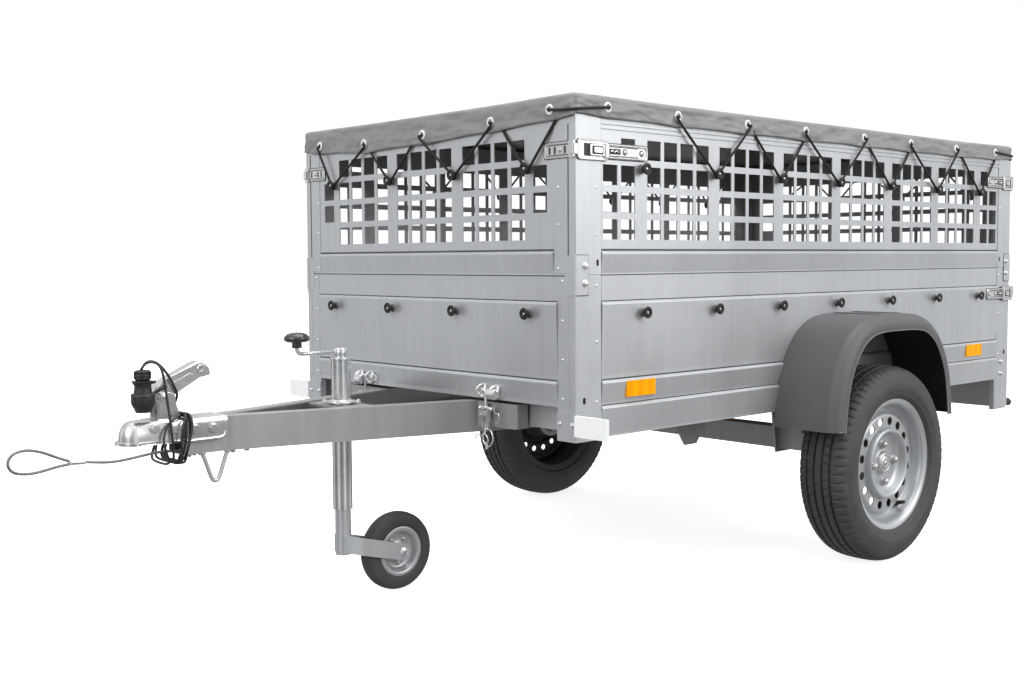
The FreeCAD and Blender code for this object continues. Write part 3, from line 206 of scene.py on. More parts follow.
def lens(dark, light):
    """A moulded reflector: rows of small prisms under a glossy face."""
    def build():
        prisms = cells(220.0)
        return {"Base Color": mixed(prisms.ramp(0.15, 0.6) * 0.6 + bands("X", 9.0) * 0.4, dark, light),
                "Roughness": prisms.ramp(0.1, 0.6, 0.25, 0.38), "Normal": bump(prisms, 0.2, 0.0006)}
    return build


BLACK_PLASTIC = toned(lambda: clouds(30.0), (0.010, 0.010, 0.011), (0.022, 0.022, 0.023), (0.38, 0.52),
                      (lambda: cells(1800.0), 0.12, 0.0003))
# A dark grey painted as shade: for strips along folds, seams and plate edges, and for the rims' inner faces.
SHADE = plain(50.0, (0.030, 0.031, 0.032), (0.060, 0.062, 0.064))

FINISHES = {
    # Near black painted as the shade inside slots, drilled holes and the fenders' inner faces.
    "painted_shade_black": finish("painted_slot_shade", plain(50.0, (0.004, 0.004, 0.004), (0.012, 0.012, 0.013)), Roughness=0.9),
    "gloss": finish("gloss_black", BLACK_PLASTIC, Coat_Weight=0.7),
    "elastic": finish("elastic_sleeve", toned(
        lambda: cells(900.0), (0.030, 0.030, 0.032), (0.012, 0.012, 0.013), (0.70, 0.85),
        (lambda: cells(900.0), 0.3, 0.0005), (0.1, 0.5))),
    "sleeve": finish("lead_sleeve", toned(
        lambda: clouds(60.0), (0.012, 0.012, 0.013), (0.022, 0.022, 0.023), (0.32, 0.44))),
    "wire": finish("rope_wire", sheet_steel((0.18, 0.18, 0.185), (0.32, 0.32, 0.325), 0.36, 0.50),
                   Metallic=0.6),
    # A paler grey painted as the highlight along the fenders' lips.
    "lip": finish("painted_lip_highlight", toned(
        lambda: clouds(12.0), (0.17, 0.175, 0.18), (0.27, 0.275, 0.28), (0.36, 0.46))),
    "galvanised": finish("galvanised_sheet", sheet_steel((0.50, 0.51, 0.525), (0.62, 0.63, 0.64), 0.34, 0.44),
                         Metallic=0.72),
    "dipped": finish("hot_dipped", sheet_steel((0.30, 0.305, 0.31), (0.43, 0.435, 0.44), 0.44, 0.56),
                     Metallic=0.6),
    # Painted shade lines along folds, seams, plate edges and in the latches' recesses.
    "seam": finish("painted_shade_lines", SHADE, Roughness=0.7),
    # Painted shade on the rims' inner faces.
    "under": finish("painted_shade_steel", SHADE, Roughness=0.6),
    "cap": finish("hook_base", toned(
        lambda: clouds(40.0), (0.085, 0.086, 0.088), (0.13, 0.13, 0.135), (0.42, 0.55))),
    "zinc": finish("bright_zinc", toned(
        lambda: clouds(11.0), (0.68, 0.69, 0.70), (0.82, 0.82, 0.825), (0.16, 0.26),
        (lambda: clouds(300.0), 0.02, 0.0003)), Metallic=0.78),
    "latch": finish("latch_zinc", sheet_steel((0.54, 0.545, 0.55), (0.74, 0.745, 0.75), 0.18, 0.30),
                    Metallic=0.85),
    "cap_silver": finish("cap_silver", sheet_steel((0.44, 0.445, 0.45), (0.60, 0.605, 0.61), 0.28, 0.38),
                         Metallic=0.75),
    "rim": finish("silver_paint", silver_paint, Metallic=0.5, Coat_Weight=0.25),
    "tyre": finish("tyre_rubber", toned(
        lambda: clouds(14.0, 4.0), (0.036, 0.036, 0.037), (0.060, 0.060, 0.061), (0.55, 0.72),
        (lambda: clouds(700.0), 0.15, 0.0004))),
    "moulding": finish("grey_moulding", toned(
        lambda: clouds(5.0), (0.076, 0.079, 0.082), (0.100, 0.103, 0.107), (0.50, 0.60),
        (lambda: cells(1400.0), 0.18, 0.0004))),
    "black": finish("black_plastic", BLACK_PLASTIC),
    "cover": finish("tarpaulin", tarpaulin),
    "amber": finish("amber_lens", lens((0.96, 0.27, 0.0), (1.0, 0.46, 0.0)), Specular_IOR_Level=0.08),
    "white": finish("white_lens", lens((0.86, 0.87, 0.88), (0.97, 0.98, 0.98)), Coat_Weight=0.2),
    "lamp": finish("red_lens", lens((0.30, 0.008, 0.006), (0.55, 0.02, 0.015)), Coat_Weight=0.6),
    "plywood": finish("resin_plywood", toned(
        lambda: clouds(3.0, 5.0), (0.060, 0.038, 0.026), (0.095, 0.062, 0.042), (0.45, 0.6),
        (lambda: bands("DIAGONAL", 90.0), 0.2, 0.0006))),
    "nylon": finish("white_nylon", toned(
        lambda: clouds(80.0), (0.78, 0.78, 0.76), (0.86, 0.86, 0.85), (0.35, 0.45))),
}

# Galvanised after welding, so duller than the sheets.
DIPPED = ("drawbar_arms", "cross_member", "axle_beam", "swing_arms", "axle_brackets", "box_stops", "tip_ears",
          "hub_left", "hub_right", "side_rails")


def dress_frame():
    """Give each CAD node the finish of its slot in the record."""
    slots = {entry["node"]: entry["material_slot"] for entry in frame["record"]["subparts"]}
    for name, thing in frame["nodes"].items():
        thing.data.materials.clear()
        thing.data.materials.append(FINISHES["dipped" if name in DIPPED else slots[name]])


dress_frame()

CAMERA_PLACE = Vector((FRONT + 1.9227, 2.4937, 0.8446))
CAMERA_YAW, CAMERA_PITCH, CAMERA_ROLL = (math.radians(a) for a in (-132.392, -3.362, -0.328))
FOCAL_PIXELS = 1206.55
CENTRE_PIXEL = (525.3, 330.2)
PHOTO = (1024, 683)


def linked(name, data):
    """A new object in the scene."""
    thing = bpy.data.objects.new(name, data)
    bpy.context.collection.objects.link(thing)
    return thing


def mesh_from(name, shape):
    """A finished mesh, with the one in the making given up."""
    mesh = bpy.data.meshes.new(name)
    shape.to_mesh(mesh)
    shape.free()
    return mesh


def turned(first, second, angle):
    """A direction between two square ones."""
    return first * math.cos(angle) + second * math.sin(angle)


def camera():
    """The camera at the photograph's angle."""
    ahead = turned(turned(AHEAD, LEFT, CAMERA_YAW), UP, CAMERA_PITCH)
    level = ahead.cross(UP).normalized()
    over = level.cross(ahead)
    data = bpy.data.cameras.new("camera")
    data.sensor_width = 36
    data.lens = FOCAL_PIXELS * data.sensor_width / PHOTO[0]
    data.shift_x = (PHOTO[0] / 2 - CENTRE_PIXEL[0]) / PHOTO[0]
    data.shift_y = (CENTRE_PIXEL[1] - PHOTO[1] / 2) / PHOTO[0]
    data.clip_end = 60
    thing = linked("camera", data)
    turn = Matrix((turned(level, over, CAMERA_ROLL), turned(over, -level, CAMERA_ROLL), -ahead))
    thing.matrix_world = Matrix.Translation(CAMERA_PLACE) @ turn.transposed().to_4x4()
    bpy.context.scene.camera = thing


# Brightness of the surround from straight down to straight up, as seen in reflections.
SURROUND = ((0.0, 0.20), (0.45, 0.16), (0.53, 0.42), (0.72, 0.62), (0.90, 1.10))
FLOOR_GLOW = 0.80
PANEL_COUNT = 5.0    # upright light panels all round, seen as streaks in bright metal
PANEL_TURN = 0.4
PANEL_LIGHT = 0.60
BACKDROP = 1.1
# Name, place, what it is turned to, side and power of each lamp.
LAMPS = (("key", (6.5, 0.6, 3.6), (0, 0, 0.7), 4.0, 200),
         ("side", (-3.0, 6.8, 3.8), (-0.3, 0, 0.6), 5.0, 345),
         ("top", (-0.3, 0.5, 6.0), (-0.3, 0, 0), 4.5, 215))


def surround():
    """A world that brightens overhead, with upright light panels all round for bright metal to reflect."""
    world = bpy.data.worlds.new("surround")
    world.use_nodes = True
    Wire.tree = world.node_tree
    glow = world.node_tree.nodes["Background"]
    glow.inputs["Color"].default_value = (0.97, 0.985, 1.0, 1)
    sky = node("ShaderNodeTexCoord", {}, {}, "Generated")
    east, north, height = (node("ShaderNodeSeparateXYZ", {}, [sky], out) for out in range(3))
    level = height * 0.5 + 0.5
    strength = SURROUND[0][1]
    for (low, dim), (high, bright) in zip(SURROUND, SURROUND[1:]):
        strength = level.ramp(low, high, 0.0, bright - dim) + strength
    turn = node("ShaderNodeMath", {"operation": "ARCTAN2"}, [north, east])
    stripe = node("ShaderNodeMath", {"operation": "SINE"}, [turn * PANEL_COUNT + PANEL_TURN])
    strength = strength + stripe.ramp(0.25, 0.55, 0.0, PANEL_LIGHT) * level.ramp(0.60, 0.72, 1.0, 0.0)
    seen = node("ShaderNodeLightPath", {}, {}, "Is Camera Ray")
    strength = strength + seen * (BACKDROP - strength)
    Wire.tree.links.new(strength.socket, glow.inputs["Strength"])
    bpy.context.scene.world = world


def studio():
    """A pale floor, the surround and three soft lamps."""
    shape = bmesh.new()
    bmesh.ops.create_grid(shape, x_segments=1, y_segments=1, size=24)
    floor = linked("floor", mesh_from("floor", shape))
    floor.visible_glossy = False
    floor.visible_diffuse = False
    pale = plain(0.6, (0.80, 0.80, 0.80), (0.83, 0.83, 0.83))
    floor.data.materials.append(finish("studio_floor", pale, Roughness=1.0, Specular_IOR_Level=0.0,
                                       Emission_Color=(1, 1, 1, 1), Emission_Strength=FLOOR_GLOW))
    surround()
    bpy.context.scene.view_settings.view_transform = "Standard"
    for name, spot, target, side, watts in LAMPS:
        data = bpy.data.lights.new(name, "AREA")
        data.shape = "SQUARE"
        data.size = side
        data.energy = watts
        aim = (Vector(target) - Vector(spot)).to_track_quat("-Z", "Y").to_matrix().to_4x4()
        linked(name, data).matrix_world = Matrix.Translation(spot) @ aim


def at(x, y, z):
    """A place given in millimetres: ahead of the box's front, to the left, above the ground."""
    return Vector((FRONT + x * MM, y * MM, z * MM))


def settle_normals(mesh, limit):
    """Let large flat faces keep their own direction, so that rounded edges don't bend their shade."""
    limit = math.cos(limit)
    facts = [(face.normal.copy(), face.area) for face in mesh.polygons]
    around = [[] for _ in mesh.vertices]
    for face in mesh.polygons:
        for vertex in face.vertices:
            around[vertex].append(face.index)
    settled = []
    for face in mesh.polygons:
        own = facts[face.index][0]
        for vertex in face.vertices:
            total = Vector()
            for other in around[vertex]:
                normal, area = facts[other]
                if normal.dot(own) > limit:
                    total += normal * area
            settled.append(total.normalized() if total.length > 0 else own)
    mesh.normals_split_custom_set(settled)


def show(name, shape, look, body, replaced=(), smooth=38, fresh=True, second=None, flat=False):
    """Turn a mesh in the making into a piece that rides on its body."""
    if fresh:
        bmesh.ops.recalc_face_normals(shape, faces=shape.faces)
    mesh = mesh_from(name, shape)
    mesh.shade_smooth()
    mesh.set_sharp_from_angle(angle=math.radians(smooth))
    if flat:
        settle_normals(mesh, math.radians(smooth))
    thing = linked(name, mesh)
    mesh.materials.append(FINISHES[look])
    if second:
        mesh.materials.append(FINISHES[second])
    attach(thing, body)
    if replaced:
        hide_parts(*replaced)
    return thing


def sides_of(axis):
    """An axis at length one, with two directions square to it."""
    axis = Vector(axis).normalized()
    first = axis.cross(UP) if abs(axis.z) < 0.9 else Vector(AHEAD)
    first.normalize()
    return axis, first, axis.cross(first)


def ring_points(centre, axis, radius, count, turn=0.0):
    """Places evenly round a circle; radius in millimetres."""
    _, first, second = sides_of(axis)
    return [centre + turned(first, second, math.tau * k / count + turn) * radius * MM for k in range(count)]


def spots_in(shape, places):
    return [shape.verts.new(place) for place in places]


def cap_ends(shape, rings):
    for ring in (rings[0], rings[-1]):
        shape.faces.new(ring)


def skin(shape, rings, closed=False):
    """Faces between loops of vertices; closed joins the last loop to the first."""
    for low, high in zip(rings, rings[1:] + rings[:1] if closed else rings[1:]):
        for step in range(len(low)):
            after = (step + 1) % len(low)
            shape.faces.new((low[step], low[after], high[after], high[step]))


def lathe(shape, profile, centre, axis, steps=32, closed=False):
    """Turn pairs of (radius, distance along the axis) about an axis; sizes in millimetres."""
    axis = Vector(axis).normalized()
    rings = [spots_in(shape, ring_points(centre + axis * along * MM, axis, max(radius, POLE), steps))
             for radius, along in profile]
    skin(shape, rings, closed)
    if not closed:
        cap_ends(shape, rings)


def heading(line, number):
    """The way a line runs at one of its points."""
    return (line[min(number + 1, len(line) - 1)] - line[max(number - 1, 0)]).normalized()


def frames_along(line):
    """Each point of a line with two directions square to it, turned no more than the line turns."""
    first = sides_of(heading(line, 0))[1]
    for number, point in enumerate(line):
        ahead = heading(line, number)
        first = (first - ahead * first.dot(ahead)).normalized()
        yield point, first, ahead.cross(first)


def bar(shape, points, radius, sides=10, ends=True):
    """A round bar along points; radius in millimetres, or one for each point."""
    radii = radius if isinstance(radius, (list, tuple)) else [radius] * len(points)
    turns = [math.tau * k / sides for k in range(sides)]
    rings = [spots_in(shape, (point + turned(first, second, turn) * size * MM for turn in turns))
             for size, (point, first, second) in zip(radii, frames_along(points))]
    skin(shape, rings)
    if ends:
        cap_ends(shape, rings)


def curve_through(points, steps=6):
    """A smooth line through a few points, each stretch cut in equal steps."""
    full = [points[0] * 2 - points[1]] + list(points) + [points[-1] * 2 - points[-2]]
    line = []
    for before, start, end, after in zip(full, full[1:], full[2:], full[3:]):
        for step in range(steps):
            t = step / steps
            line.append(0.5 * (2 * start + (end - before) * t
                               + (2 * before - 5 * start + 4 * end - after) * t ** 2
                               + (3 * start - before - 3 * end + after) * t ** 3))
    return line + [points[-1]]


def soften(shape, faces, width, segments=2):
    """Round the edges between new faces."""
    edges = {edge for face in faces for edge in face.edges if edge.is_manifold}
    bmesh.ops.bevel(shape, geom=list(edges), offset=width * MM, offset_type="OFFSET", affect="EDGES",
                    segments=segments, profile=0.5, clamp_overlap=True, material=-1)


def slab(shape, outline, lift, soft=0.6, segments=2):
    """A plate: an outline of places, pushed along a direction, with its edges rounded."""
    low, high = spots_in(shape, outline), spots_in(shape, (point + lift for point in outline))
    faces = [shape.faces.new(low), shape.faces.new(high)]
    for step in range(len(low)):
        after = (step + 1) % len(low)
        faces.append(shape.faces.new((low[step], low[after], high[after], high[step])))
    if soft:
        soften(shape, faces, soft, segments)


def box(shape, low, high, soft=0.6, segments=2):
    """A block between two corners, with its edges rounded."""
    corners = [Vector((x, y, low.z)) for x, y in
               ((low.x, low.y), (high.x, low.y), (high.x, high.y), (low.x, high.y))]
    slab(shape, corners, UP * (high.z - low.z), soft, segments)


def rivet(shape, spot, axis, radius=5.0, high=2.2):
    """A domed rivet head."""
    lathe(shape, [(radius, -0.5), (radius, 0.3), (radius * 0.86, high * 0.55), (radius * 0.5, high * 0.92),
                  (0, high)], spot, axis, 14)


def screw(shape, spot, axis, across=13.0, high=6.0, washer=9.5, thread=4.0):
    """A hexagon head on its washer, with the screw's end showing past it."""
    lathe(shape, [(washer, -0.3), (washer, 1.4), (washer - 0.6, 1.8), (0, 1.8)], spot, axis, 20)
    axis = Vector(axis).normalized()
    slab(shape, ring_points(spot + axis * 1.8 * MM, axis, across / math.sqrt(3), 6), axis * high * MM, 0.7)
    if thread:
        lathe(shape, [(thread * 0.6, high), (thread * 0.6, high + 3.4), (thread * 0.5, high + 4),
                      (0, high + 4)], spot, axis, 12)


# Cords: each route's control points repeat those of the part's source.
NEAR_LEAD = [(791, 27, 611), (785, 29, 624), (770, 32, 629), (756, 36, 624), (749, 40, 611), (745, 42, 586),
             (741, 46, 541), (737, 53, 486.4)]
FAR_LEAD = [(787, 21, 611), (781, 20, 624), (765, 21, 631), (747, 23, 622), (729, 25, 599), (713, 24, 570),
            (704, 20, 552), (703, 9, 537), (709, 3, 519), (714, 3, 499.5)]
ROPE = [(700, 18, 425), (735, 26, 430), (772, 33, 430), (812, 34, 425), (850, 21, 419), (880, 6, 419),
        (907, 0, 423)]
ROPE_LOOP = [(939, 0, 428), (964, 0, 438), (994, 0, 453), (1025, 0, 462), (1053, 0, 458), (1066, 0, 444),
             (1064, 0, 425.5), (1049, 0, 414.5), (1020, 0, 411), (990, 0, 415), (962, 0, 420.5),
             (939, 0, 422)]


def route_points(route, fine=10):
    """The smooth line of a route: a NURBS spline through its control points, read back as places."""
    data = bpy.data.curves.new("route", "CURVE")
    data.dimensions = "3D"
    data.resolution_u = fine
    spline = data.splines.new("NURBS")
    spline.points.add(len(route) - 1)
    for point, spot in zip(spline.points, route):
        point.co = (*spot, 1)
    spline.order_u = 3
    spline.use_endpoint_u = True
    thing = linked("route", data)
    mesh = bpy.data.meshes.new_from_object(thing)
    line = [vertex.co.copy() for vertex in mesh.vertices]
    bpy.data.objects.remove(thing)
    bpy.data.meshes.remove(mesh)
    return line


def as_cord(thing, line):
    """Work out a cord's length along its line and the place where it starts; nothing is kept."""
    length = sum((after - before).length for before, after in zip(line, line[1:]))
    tuple(line[0])


STRANDS = 6
STRAND_LAY = 26 * MM    # the length in which a strand goes once round
STRAND_PLACE, STRAND_THICK, STRAND_CORE = 0.92, 0.58, 0.7    # as shares of the rope's radius


def lead(name, route, radius, look, replaced, **facts):
    """A round cord along a route of places in metres."""
    line = route_points(route)
    shape = bmesh.new()
    bar(shape, line, radius, 12)
    as_cord(show(name, shape, look, "chassis", replaced, 180), line)


def stranded(name, route, radius, replaced, **facts):
    """A wire rope: six strands laid round the route's line."""
    line = route_points(route, 16)
    shape = bmesh.new()
    frames = list(frames_along(line))
    for strand in range(STRANDS):
        run = 0.0
        path = []
        for number, (point, side, other) in enumerate(frames):
            if number:
                run += (point - frames[number - 1][0]).length
            angle = math.tau * (strand / STRANDS + run / STRAND_LAY)
            path.append(point + turned(side, other, angle) * radius * STRAND_PLACE * MM)
        bar(shape, path, radius * STRAND_THICK, 7)
    bar(shape, line, radius * STRAND_CORE, 6)
    as_cord(show(name, shape, "wire", "chassis", replaced, 180), line)


def placed(route):
    return [at(*spot) for spot in route]


# Turns of the hank round the drawbar's neck: down the near side, under, up the far side and over.
HANK_DOWN = [
    [(735, 54, 455), (733, 54, 430), (730, 47, 410)],
    [(715, 44, 506), (737, 46, 495), (752, 53, 476), (757, 56, 455), (752, 57, 434), (741, 52, 409)],
    [(696, 46, 504), (701, 53, 484), (703, 54, 455), (708, 54, 430), (714, 47, 410)],
    [(690, 46, 503), (693, 53, 484), (694, 54, 455), (700, 54, 430), (706, 47, 410)],
    [(699, 50, 511), (711, 58.5, 490), (717, 60, 460), (716, 60, 432), (712, 52, 404)],
    [(692, 52, 510), (689, 59, 488), (696, 60, 458), (704, 60, 432), (704, 51, 404)]]
HANK_UNDER = [(728, 405), (736, 400), (716, 405), (709, 405), (712.5, 399.5), (704.5, 400)]
HANK_UP = [
    [(728, -47, 410), (722, -54, 432), (712, -54, 460), (704, -53, 488), (701, -46, 503)],
    [(736, -52, 405), (724, -60, 432), (708, -60, 460), (697, -59, 490), (695, -46, 505)],
    [(715, -47, 410), (706, -54, 432), (700, -54, 460), (693, -53, 486), (689, -46, 503)],
    [(708, -47, 410), (698, -54, 432), (690, -54, 460), (688, -54, 482), (696, -50, 510)],
    [(711, -52, 404), (704, -60, 430), (697, -60, 455), (684, -60, 485), (689, -51, 509)]]
HANK_OVER = [(701, 504), (695, 504), (689, 504), (698, 509.5), (692, 509.5)]


def hank_route():
    """The near lead from the plug down to the neck, its turns round it, and its end under the drawbar."""
    route = list(NEAR_LEAD)
    for turn, down in enumerate(HANK_DOWN):
        route += down
        x, z = HANK_UNDER[turn]
        if turn == len(HANK_UP):
            return route + [(x, 26, z), (701, 10, 402), (695, 2, 408), (689, 0, 417)]
        route += [(x, 26, z), (x, -26, z)] + HANK_UP[turn]
        x, z = HANK_OVER[turn]
        route += [(x, -26, z), (x, 26, z)]


# Place ahead, level and radius along the rope's sleeve.
ROPE_SLEEVE = ((904, 422.7, 3.6), (906, 422.9, 4.8), (912, 423.4, 5.4), (934, 424.8, 5.6), (940, 425.2, 5.2),
               (942, 425.4, 4.0))


def cords(plug):
    """The two leads, the rope with its sleeve, and the rope's loop."""
    lead("near_lead_and_hank", placed(hank_route()), 2.8, "sleeve", ["near_lead", "lead_hank"],
         far_end="object", stiffness="limp", lay="coiled", with_pieces=[plug])
    lead("far_lead_sleeve", placed(FAR_LEAD), 2.8, "sleeve", ["far_lead"], far_end="object", stiffness="limp",
         lay="loose")
    sleeve = bmesh.new()
    bar(sleeve, placed([(x, 0, z) for x, z, _ in ROPE_SLEEVE]), [size for _, _, size in ROPE_SLEEVE], 18)
    ferrule = show("rope_sleeve", sleeve, "zinc", "chassis", ["rope_ferrule"], 50)
    stranded("rope_strands", placed(ROPE), 2.2, ["rope"], far_end="fitting", stiffness="stiff", lay="loose",
             with_pieces=[ferrule])
    stranded("rope_loop_strands", placed(ROPE_LOOP), 2.2, ["rope_loop"], far_end="object", stiffness="stiff",
             lay="loose")


# The cover: one sheet over the rims, laced down to the hooks.

COVER_TOP = PANEL_TOP + 11 * MM
SKIRT = 6 * MM    # how far the skirt stands out from the walls
SKIRT_ROWS = 9
TOP_SHARES = (0.02, 0.05, 0.09, 0.14, 0.2, 0.27, 0.35, 0.44, 0.54, 0.64, 0.74, 0.84, 0.93)
CORNER_ROUND = 16 * MM
EDGE_ROUND = 9 * MM
SIDE_EYELETS = (-100, -346, -622, -880, -1170, -1428, -1703, -1965)
END_EYELETS = (-471, -255, 7, 274.5, 482)
END_SAG = (20, 27, 23, 14, 6)    # how much lower the skirt's end hangs at each end eyelet
SIDE_HOOKS = tuple(-1040 + 273 * k for k in range(-3, 4))
END_HOOKS = (-406, -135, 135, 406)
HOOK_LEVEL = 1056


def rim_walk(counts=(300, 160), count_turn=9):
    """Places round the cover's edge with the way out at each: a rectangle with rounded corners."""
    half_x = (FRONT - REAR) / 2 + SKIRT
    half_y = HALF + SKIRT
    middle = (FRONT + REAR) / 2
    walk = []
    corners = ((1, 1, 0), (-1, 1, 90), (-1, -1, 180), (1, -1, 270))
    for number, (side_x, side_y, turn) in enumerate(corners):
        centre = Vector((middle + side_x * (half_x - CORNER_ROUND), side_y * (half_y - CORNER_ROUND), 0))
        for step in range(count_turn + 1):
            angle = math.radians(turn + 90 * step / count_turn)
            out = Vector((math.cos(angle), math.sin(angle), 0))
            walk.append((centre + out * CORNER_ROUND, out))
        following = corners[(number + 1) % 4]
        start, out = walk[-1]
        goal = Vector((middle + following[0] * (half_x - CORNER_ROUND),
                       following[1] * (half_y - CORNER_ROUND), 0)) + out * CORNER_ROUND
        count = counts[number % 2]
        walk += [(start.lerp(goal, step / count), out) for step in range(1, count)]
    return walk


def end_sag(across):
    """How much lower the skirt hangs at an end of the box, in metres, eased between the eyelets."""
    spots = [(-600.0, 8)] + list(zip(END_EYELETS, END_SAG)) + [(600.0, 0)]
    value = across / MM
    for (low, first), (high, last) in zip(spots, spots[1:]):
        if value <= high:
            share = max(0.0, min(1.0, (value - low) / (high - low)))
            share = share * share * (3 - 2 * share)
            return (first + (last - first) * share) * MM
    return 0.0


def eyelet_gap(point, out):
    """Millimetres from the nearest eyelet, with a sign, and the place along the edge."""
    on_side = abs(out.y) > 0.7
    value, places = ((point.x - FRONT) / MM, SIDE_EYELETS) if on_side else (point.y / MM, END_EYELETS)
    return min((value - place for place in places), key=abs), value


def pull(point, out):
    """How strongly the lacing draws the hem down at a place, from 0 between eyelets to 1 at one."""
    return math.exp(-(eyelet_gap(point, out)[0] / 55) ** 2)


def pull_folds(point, out, drop):
    """Small folds that fan out from the eyelets, in millimetres."""
    gap, value = eyelet_gap(point, out)
    fan = math.atan2(gap, 12 + drop / MM * 0.6)
    return math.exp(-(gap / 70) ** 2) * math.sin(fan * 9 + value * 0.013) * 1.5


def corner_gap(point):
    """Distance to the nearest corner of the box, in metres."""
    return min(math.hypot(point.x - x, abs(point.y) - HALF) for x in (FRONT, REAR))


def near_corner(point, reach):
    """1 at a corner of the box, falling off over a reach in metres."""
    return math.exp(-(corner_gap(point) / reach) ** 2)


def rough_at(*place):
    """Smooth noise between about -1 and 1."""
    return noise.noise(Vector(place))


def skirt_spot(point, out, drop):
    """A place on the cover's skirt, some way down from its upper edge."""
    along = point.x + point.y * 1.7
    pleat = near_corner(point, 0.16) * (math.sin(along * 170 + drop * 110) * 1.9
                                        + rough_at(along * 46, drop * 30, 2) * 3.4)
    pleat += pull_folds(point, out, drop)
    pleat += rough_at(along * 22 + drop * 30, drop * 10, 6.0) * 1.6
    depth = drop / 0.05
    crest = max(-0.6, 1 - 5 * abs(rough_at(along * 12 + drop * 45, drop * 14, 9.0)))
    pleat += near_corner(point, 0.085) * crest * 3.0 / max(0.3, depth) ** 0.5
    belly = 1.4 * (1 - pull(point, out)) * depth ** 2 * max(0.0, rough_at(along * 3.1, 8.4, 0) + 0.35)
    puff = (1.1 * rough_at(along * 9, drop * 4, 3.1) + pleat) * depth + belly
    return Vector((point.x, point.y, COVER_TOP - EDGE_ROUND + top_lift(point) - drop)) + out * puff * MM


def hem_drop(point, out):
    """How deep the skirt hangs below the rounded edge."""
    wander = rough_at(point.x * 2.3, point.y * 2.3, 5.0)
    sag = end_sag(point.y) * min(1.0, max(0.0, (abs(out.x) - 0.2) / 0.7))
    tuck = (0.002 if abs(out.x) > 0.7 else 0.004) * near_corner(point, 0.10)
    return 0.040 + sag + 0.003 * pull(point, out) + 0.0025 * wander - tuck


def top_lift(point):
    """The rim line of the cover: a little higher at the corners, uneven between."""
    return (2.4 * near_corner(point, 0.22) - 1.4 + 1.2 * rough_at(point.x * 3.0, point.y * 3.0, 1.0)) * MM


def rounded_edge_spot(point, out, turn):
    """A place on the cover's rounded edge, where the skirt goes over into the top."""
    spot = point - out * EDGE_ROUND * (1 - math.cos(turn))
    return Vector((spot.x, spot.y, COVER_TOP - EDGE_ROUND + EDGE_ROUND * math.sin(turn) + top_lift(point)))


def top_spot(point, out, share):
    """A place on the cover's top, a share of the way from the edge to the middle line."""
    middle_x = (FRONT + REAR) / 2
    reach = (FRONT - REAR) / 2 - HALF + 0.02
    edge = point - out * EDGE_ROUND
    spine = Vector((max(-reach, min(reach, edge.x - middle_x)) + middle_x, 0, 0))
    spot = edge.lerp(spine, share)
    inset = min(HALF - abs(spot.y), FRONT - spot.x, spot.x - REAR)
    sag = 9.0 * (1 - math.exp(-inset / 0.13))
    sweep = spot.x * 0.62 + abs(spot.y)
    ripple = (rough_at(spot.x * 2.2, spot.y * 5.0, 7.0) * 3.0
              + rough_at(sweep * 16, spot.y * 2, 2.0) * 2.4 * near_corner(spot, 0.30))
    height = COVER_TOP + top_lift(point) * (1 - share) + (ripple * min(1.0, inset / 0.05) - sag) * MM
    return Vector((spot.x, spot.y, height))


def cover_sheet():
    """The sheet from the hem up the skirt, over the rounded edge and in to the middle."""
    shape = bmesh.new()
    walk = rim_walk()
    rings = [spots_in(shape, (skirt_spot(point, out, hem_drop(point, out) * (1 - row / SKIRT_ROWS))
                              for point, out in walk)) for row in range(SKIRT_ROWS + 1)]
    rings += [spots_in(shape, (rounded_edge_spot(point, out, math.radians(turn)) for point, out in walk))
              for turn in (30, 60, 90)]
    rings += [spots_in(shape, (top_spot(point, out, share) for point, out in walk)) for share in TOP_SHARES]
    skin(shape, rings)
    shape.faces.new(rings[-1])
    thing = show("cover_sheet", shape, "cover", "box", ["cover"], 180)
    thick = thing.modifiers.new("thickness", "SOLIDIFY")
    thick.thickness = 0.9 * MM
    thick.offset = 1


WAYS = {"left": LEFT, "right": -LEFT, "front": AHEAD, "rear": -AHEAD}


def wall_spot(face, along, push=0.0):
    """A place on a wall's plane at the ground, some way along it and out from it, with the way out."""
    out = WAYS[face]
    if out.y:
        return Vector((FRONT + along * MM, out.y * (HALF + push), 0)), out
    return Vector(((FRONT if face == "front" else REAR) + out.x * push, along * MM, 0)), out


def edge_spot(face, along, drop):
    """A place on the cover's skirt by side: 'left', 'right', 'front' or 'rear'."""
    point, out = wall_spot(face, along, SKIRT)
    if out.x:
        drop += end_sag(along * MM)
    return skirt_spot(point, out, drop) + out * 1.2 * MM, out


EYELET_DROP = 17 * MM
EYELET = [(12.5, -0.8), (12.5, 0.6), (11.2, 2.0), (8.6, 2.4), (6.6, 1.6), (6.2, 0.2), (6.2, -0.8)]


def eyelets():
    """White rings pressed through the skirt."""
    shape = bmesh.new()
    for face in WAYS:
        for along in SIDE_EYELETS if WAYS[face].y else END_EYELETS:
            lathe(shape, EYELET, *edge_spot(face, along, EYELET_DROP), 28, closed=True)
    show("cover_eyelets", shape, "nylon", "box", smooth=50)


def hook_spot(face, along, level=HOOK_LEVEL):
    spot, out = wall_spot(face, along)
    return spot + UP * level * MM, out


LOWER_HOOK_LEVEL = 717
HOOK_STEP = 2.6    # the lower hooks sit on the pressed step
HOOK_FOOT = [(11.5, 0), (11.5, 1.6), (10.4, 4.0), (8.0, 7.2), (0, 7.4)]
HOOK_CAP = [(0, 6.8), (7.6, 6.8), (7.0, 10.5), (8.2, 14), (13.6, 16.6), (14.3, 18.2), (14.1, 20.2),
            (12.8, 21.4), (11.6, 21.3), (11.0, 20.2), (9.8, 20.2), (9.2, 21.4), (7.6, 21.6), (6.6, 20.8),
            (5.6, 17.6), (0, 17.4)]
HOOK_RIVET = [(3.9, 17.0), (3.9, 18.6), (2.9, 19.8), (0, 20.2)]
HOOK_PARTS = (("hook_feet", "cap", HOOK_FOOT, 24), ("hook_caps", "black", HOOK_CAP, 28),
              ("hook_rivets", "zinc", HOOK_RIVET, 12))


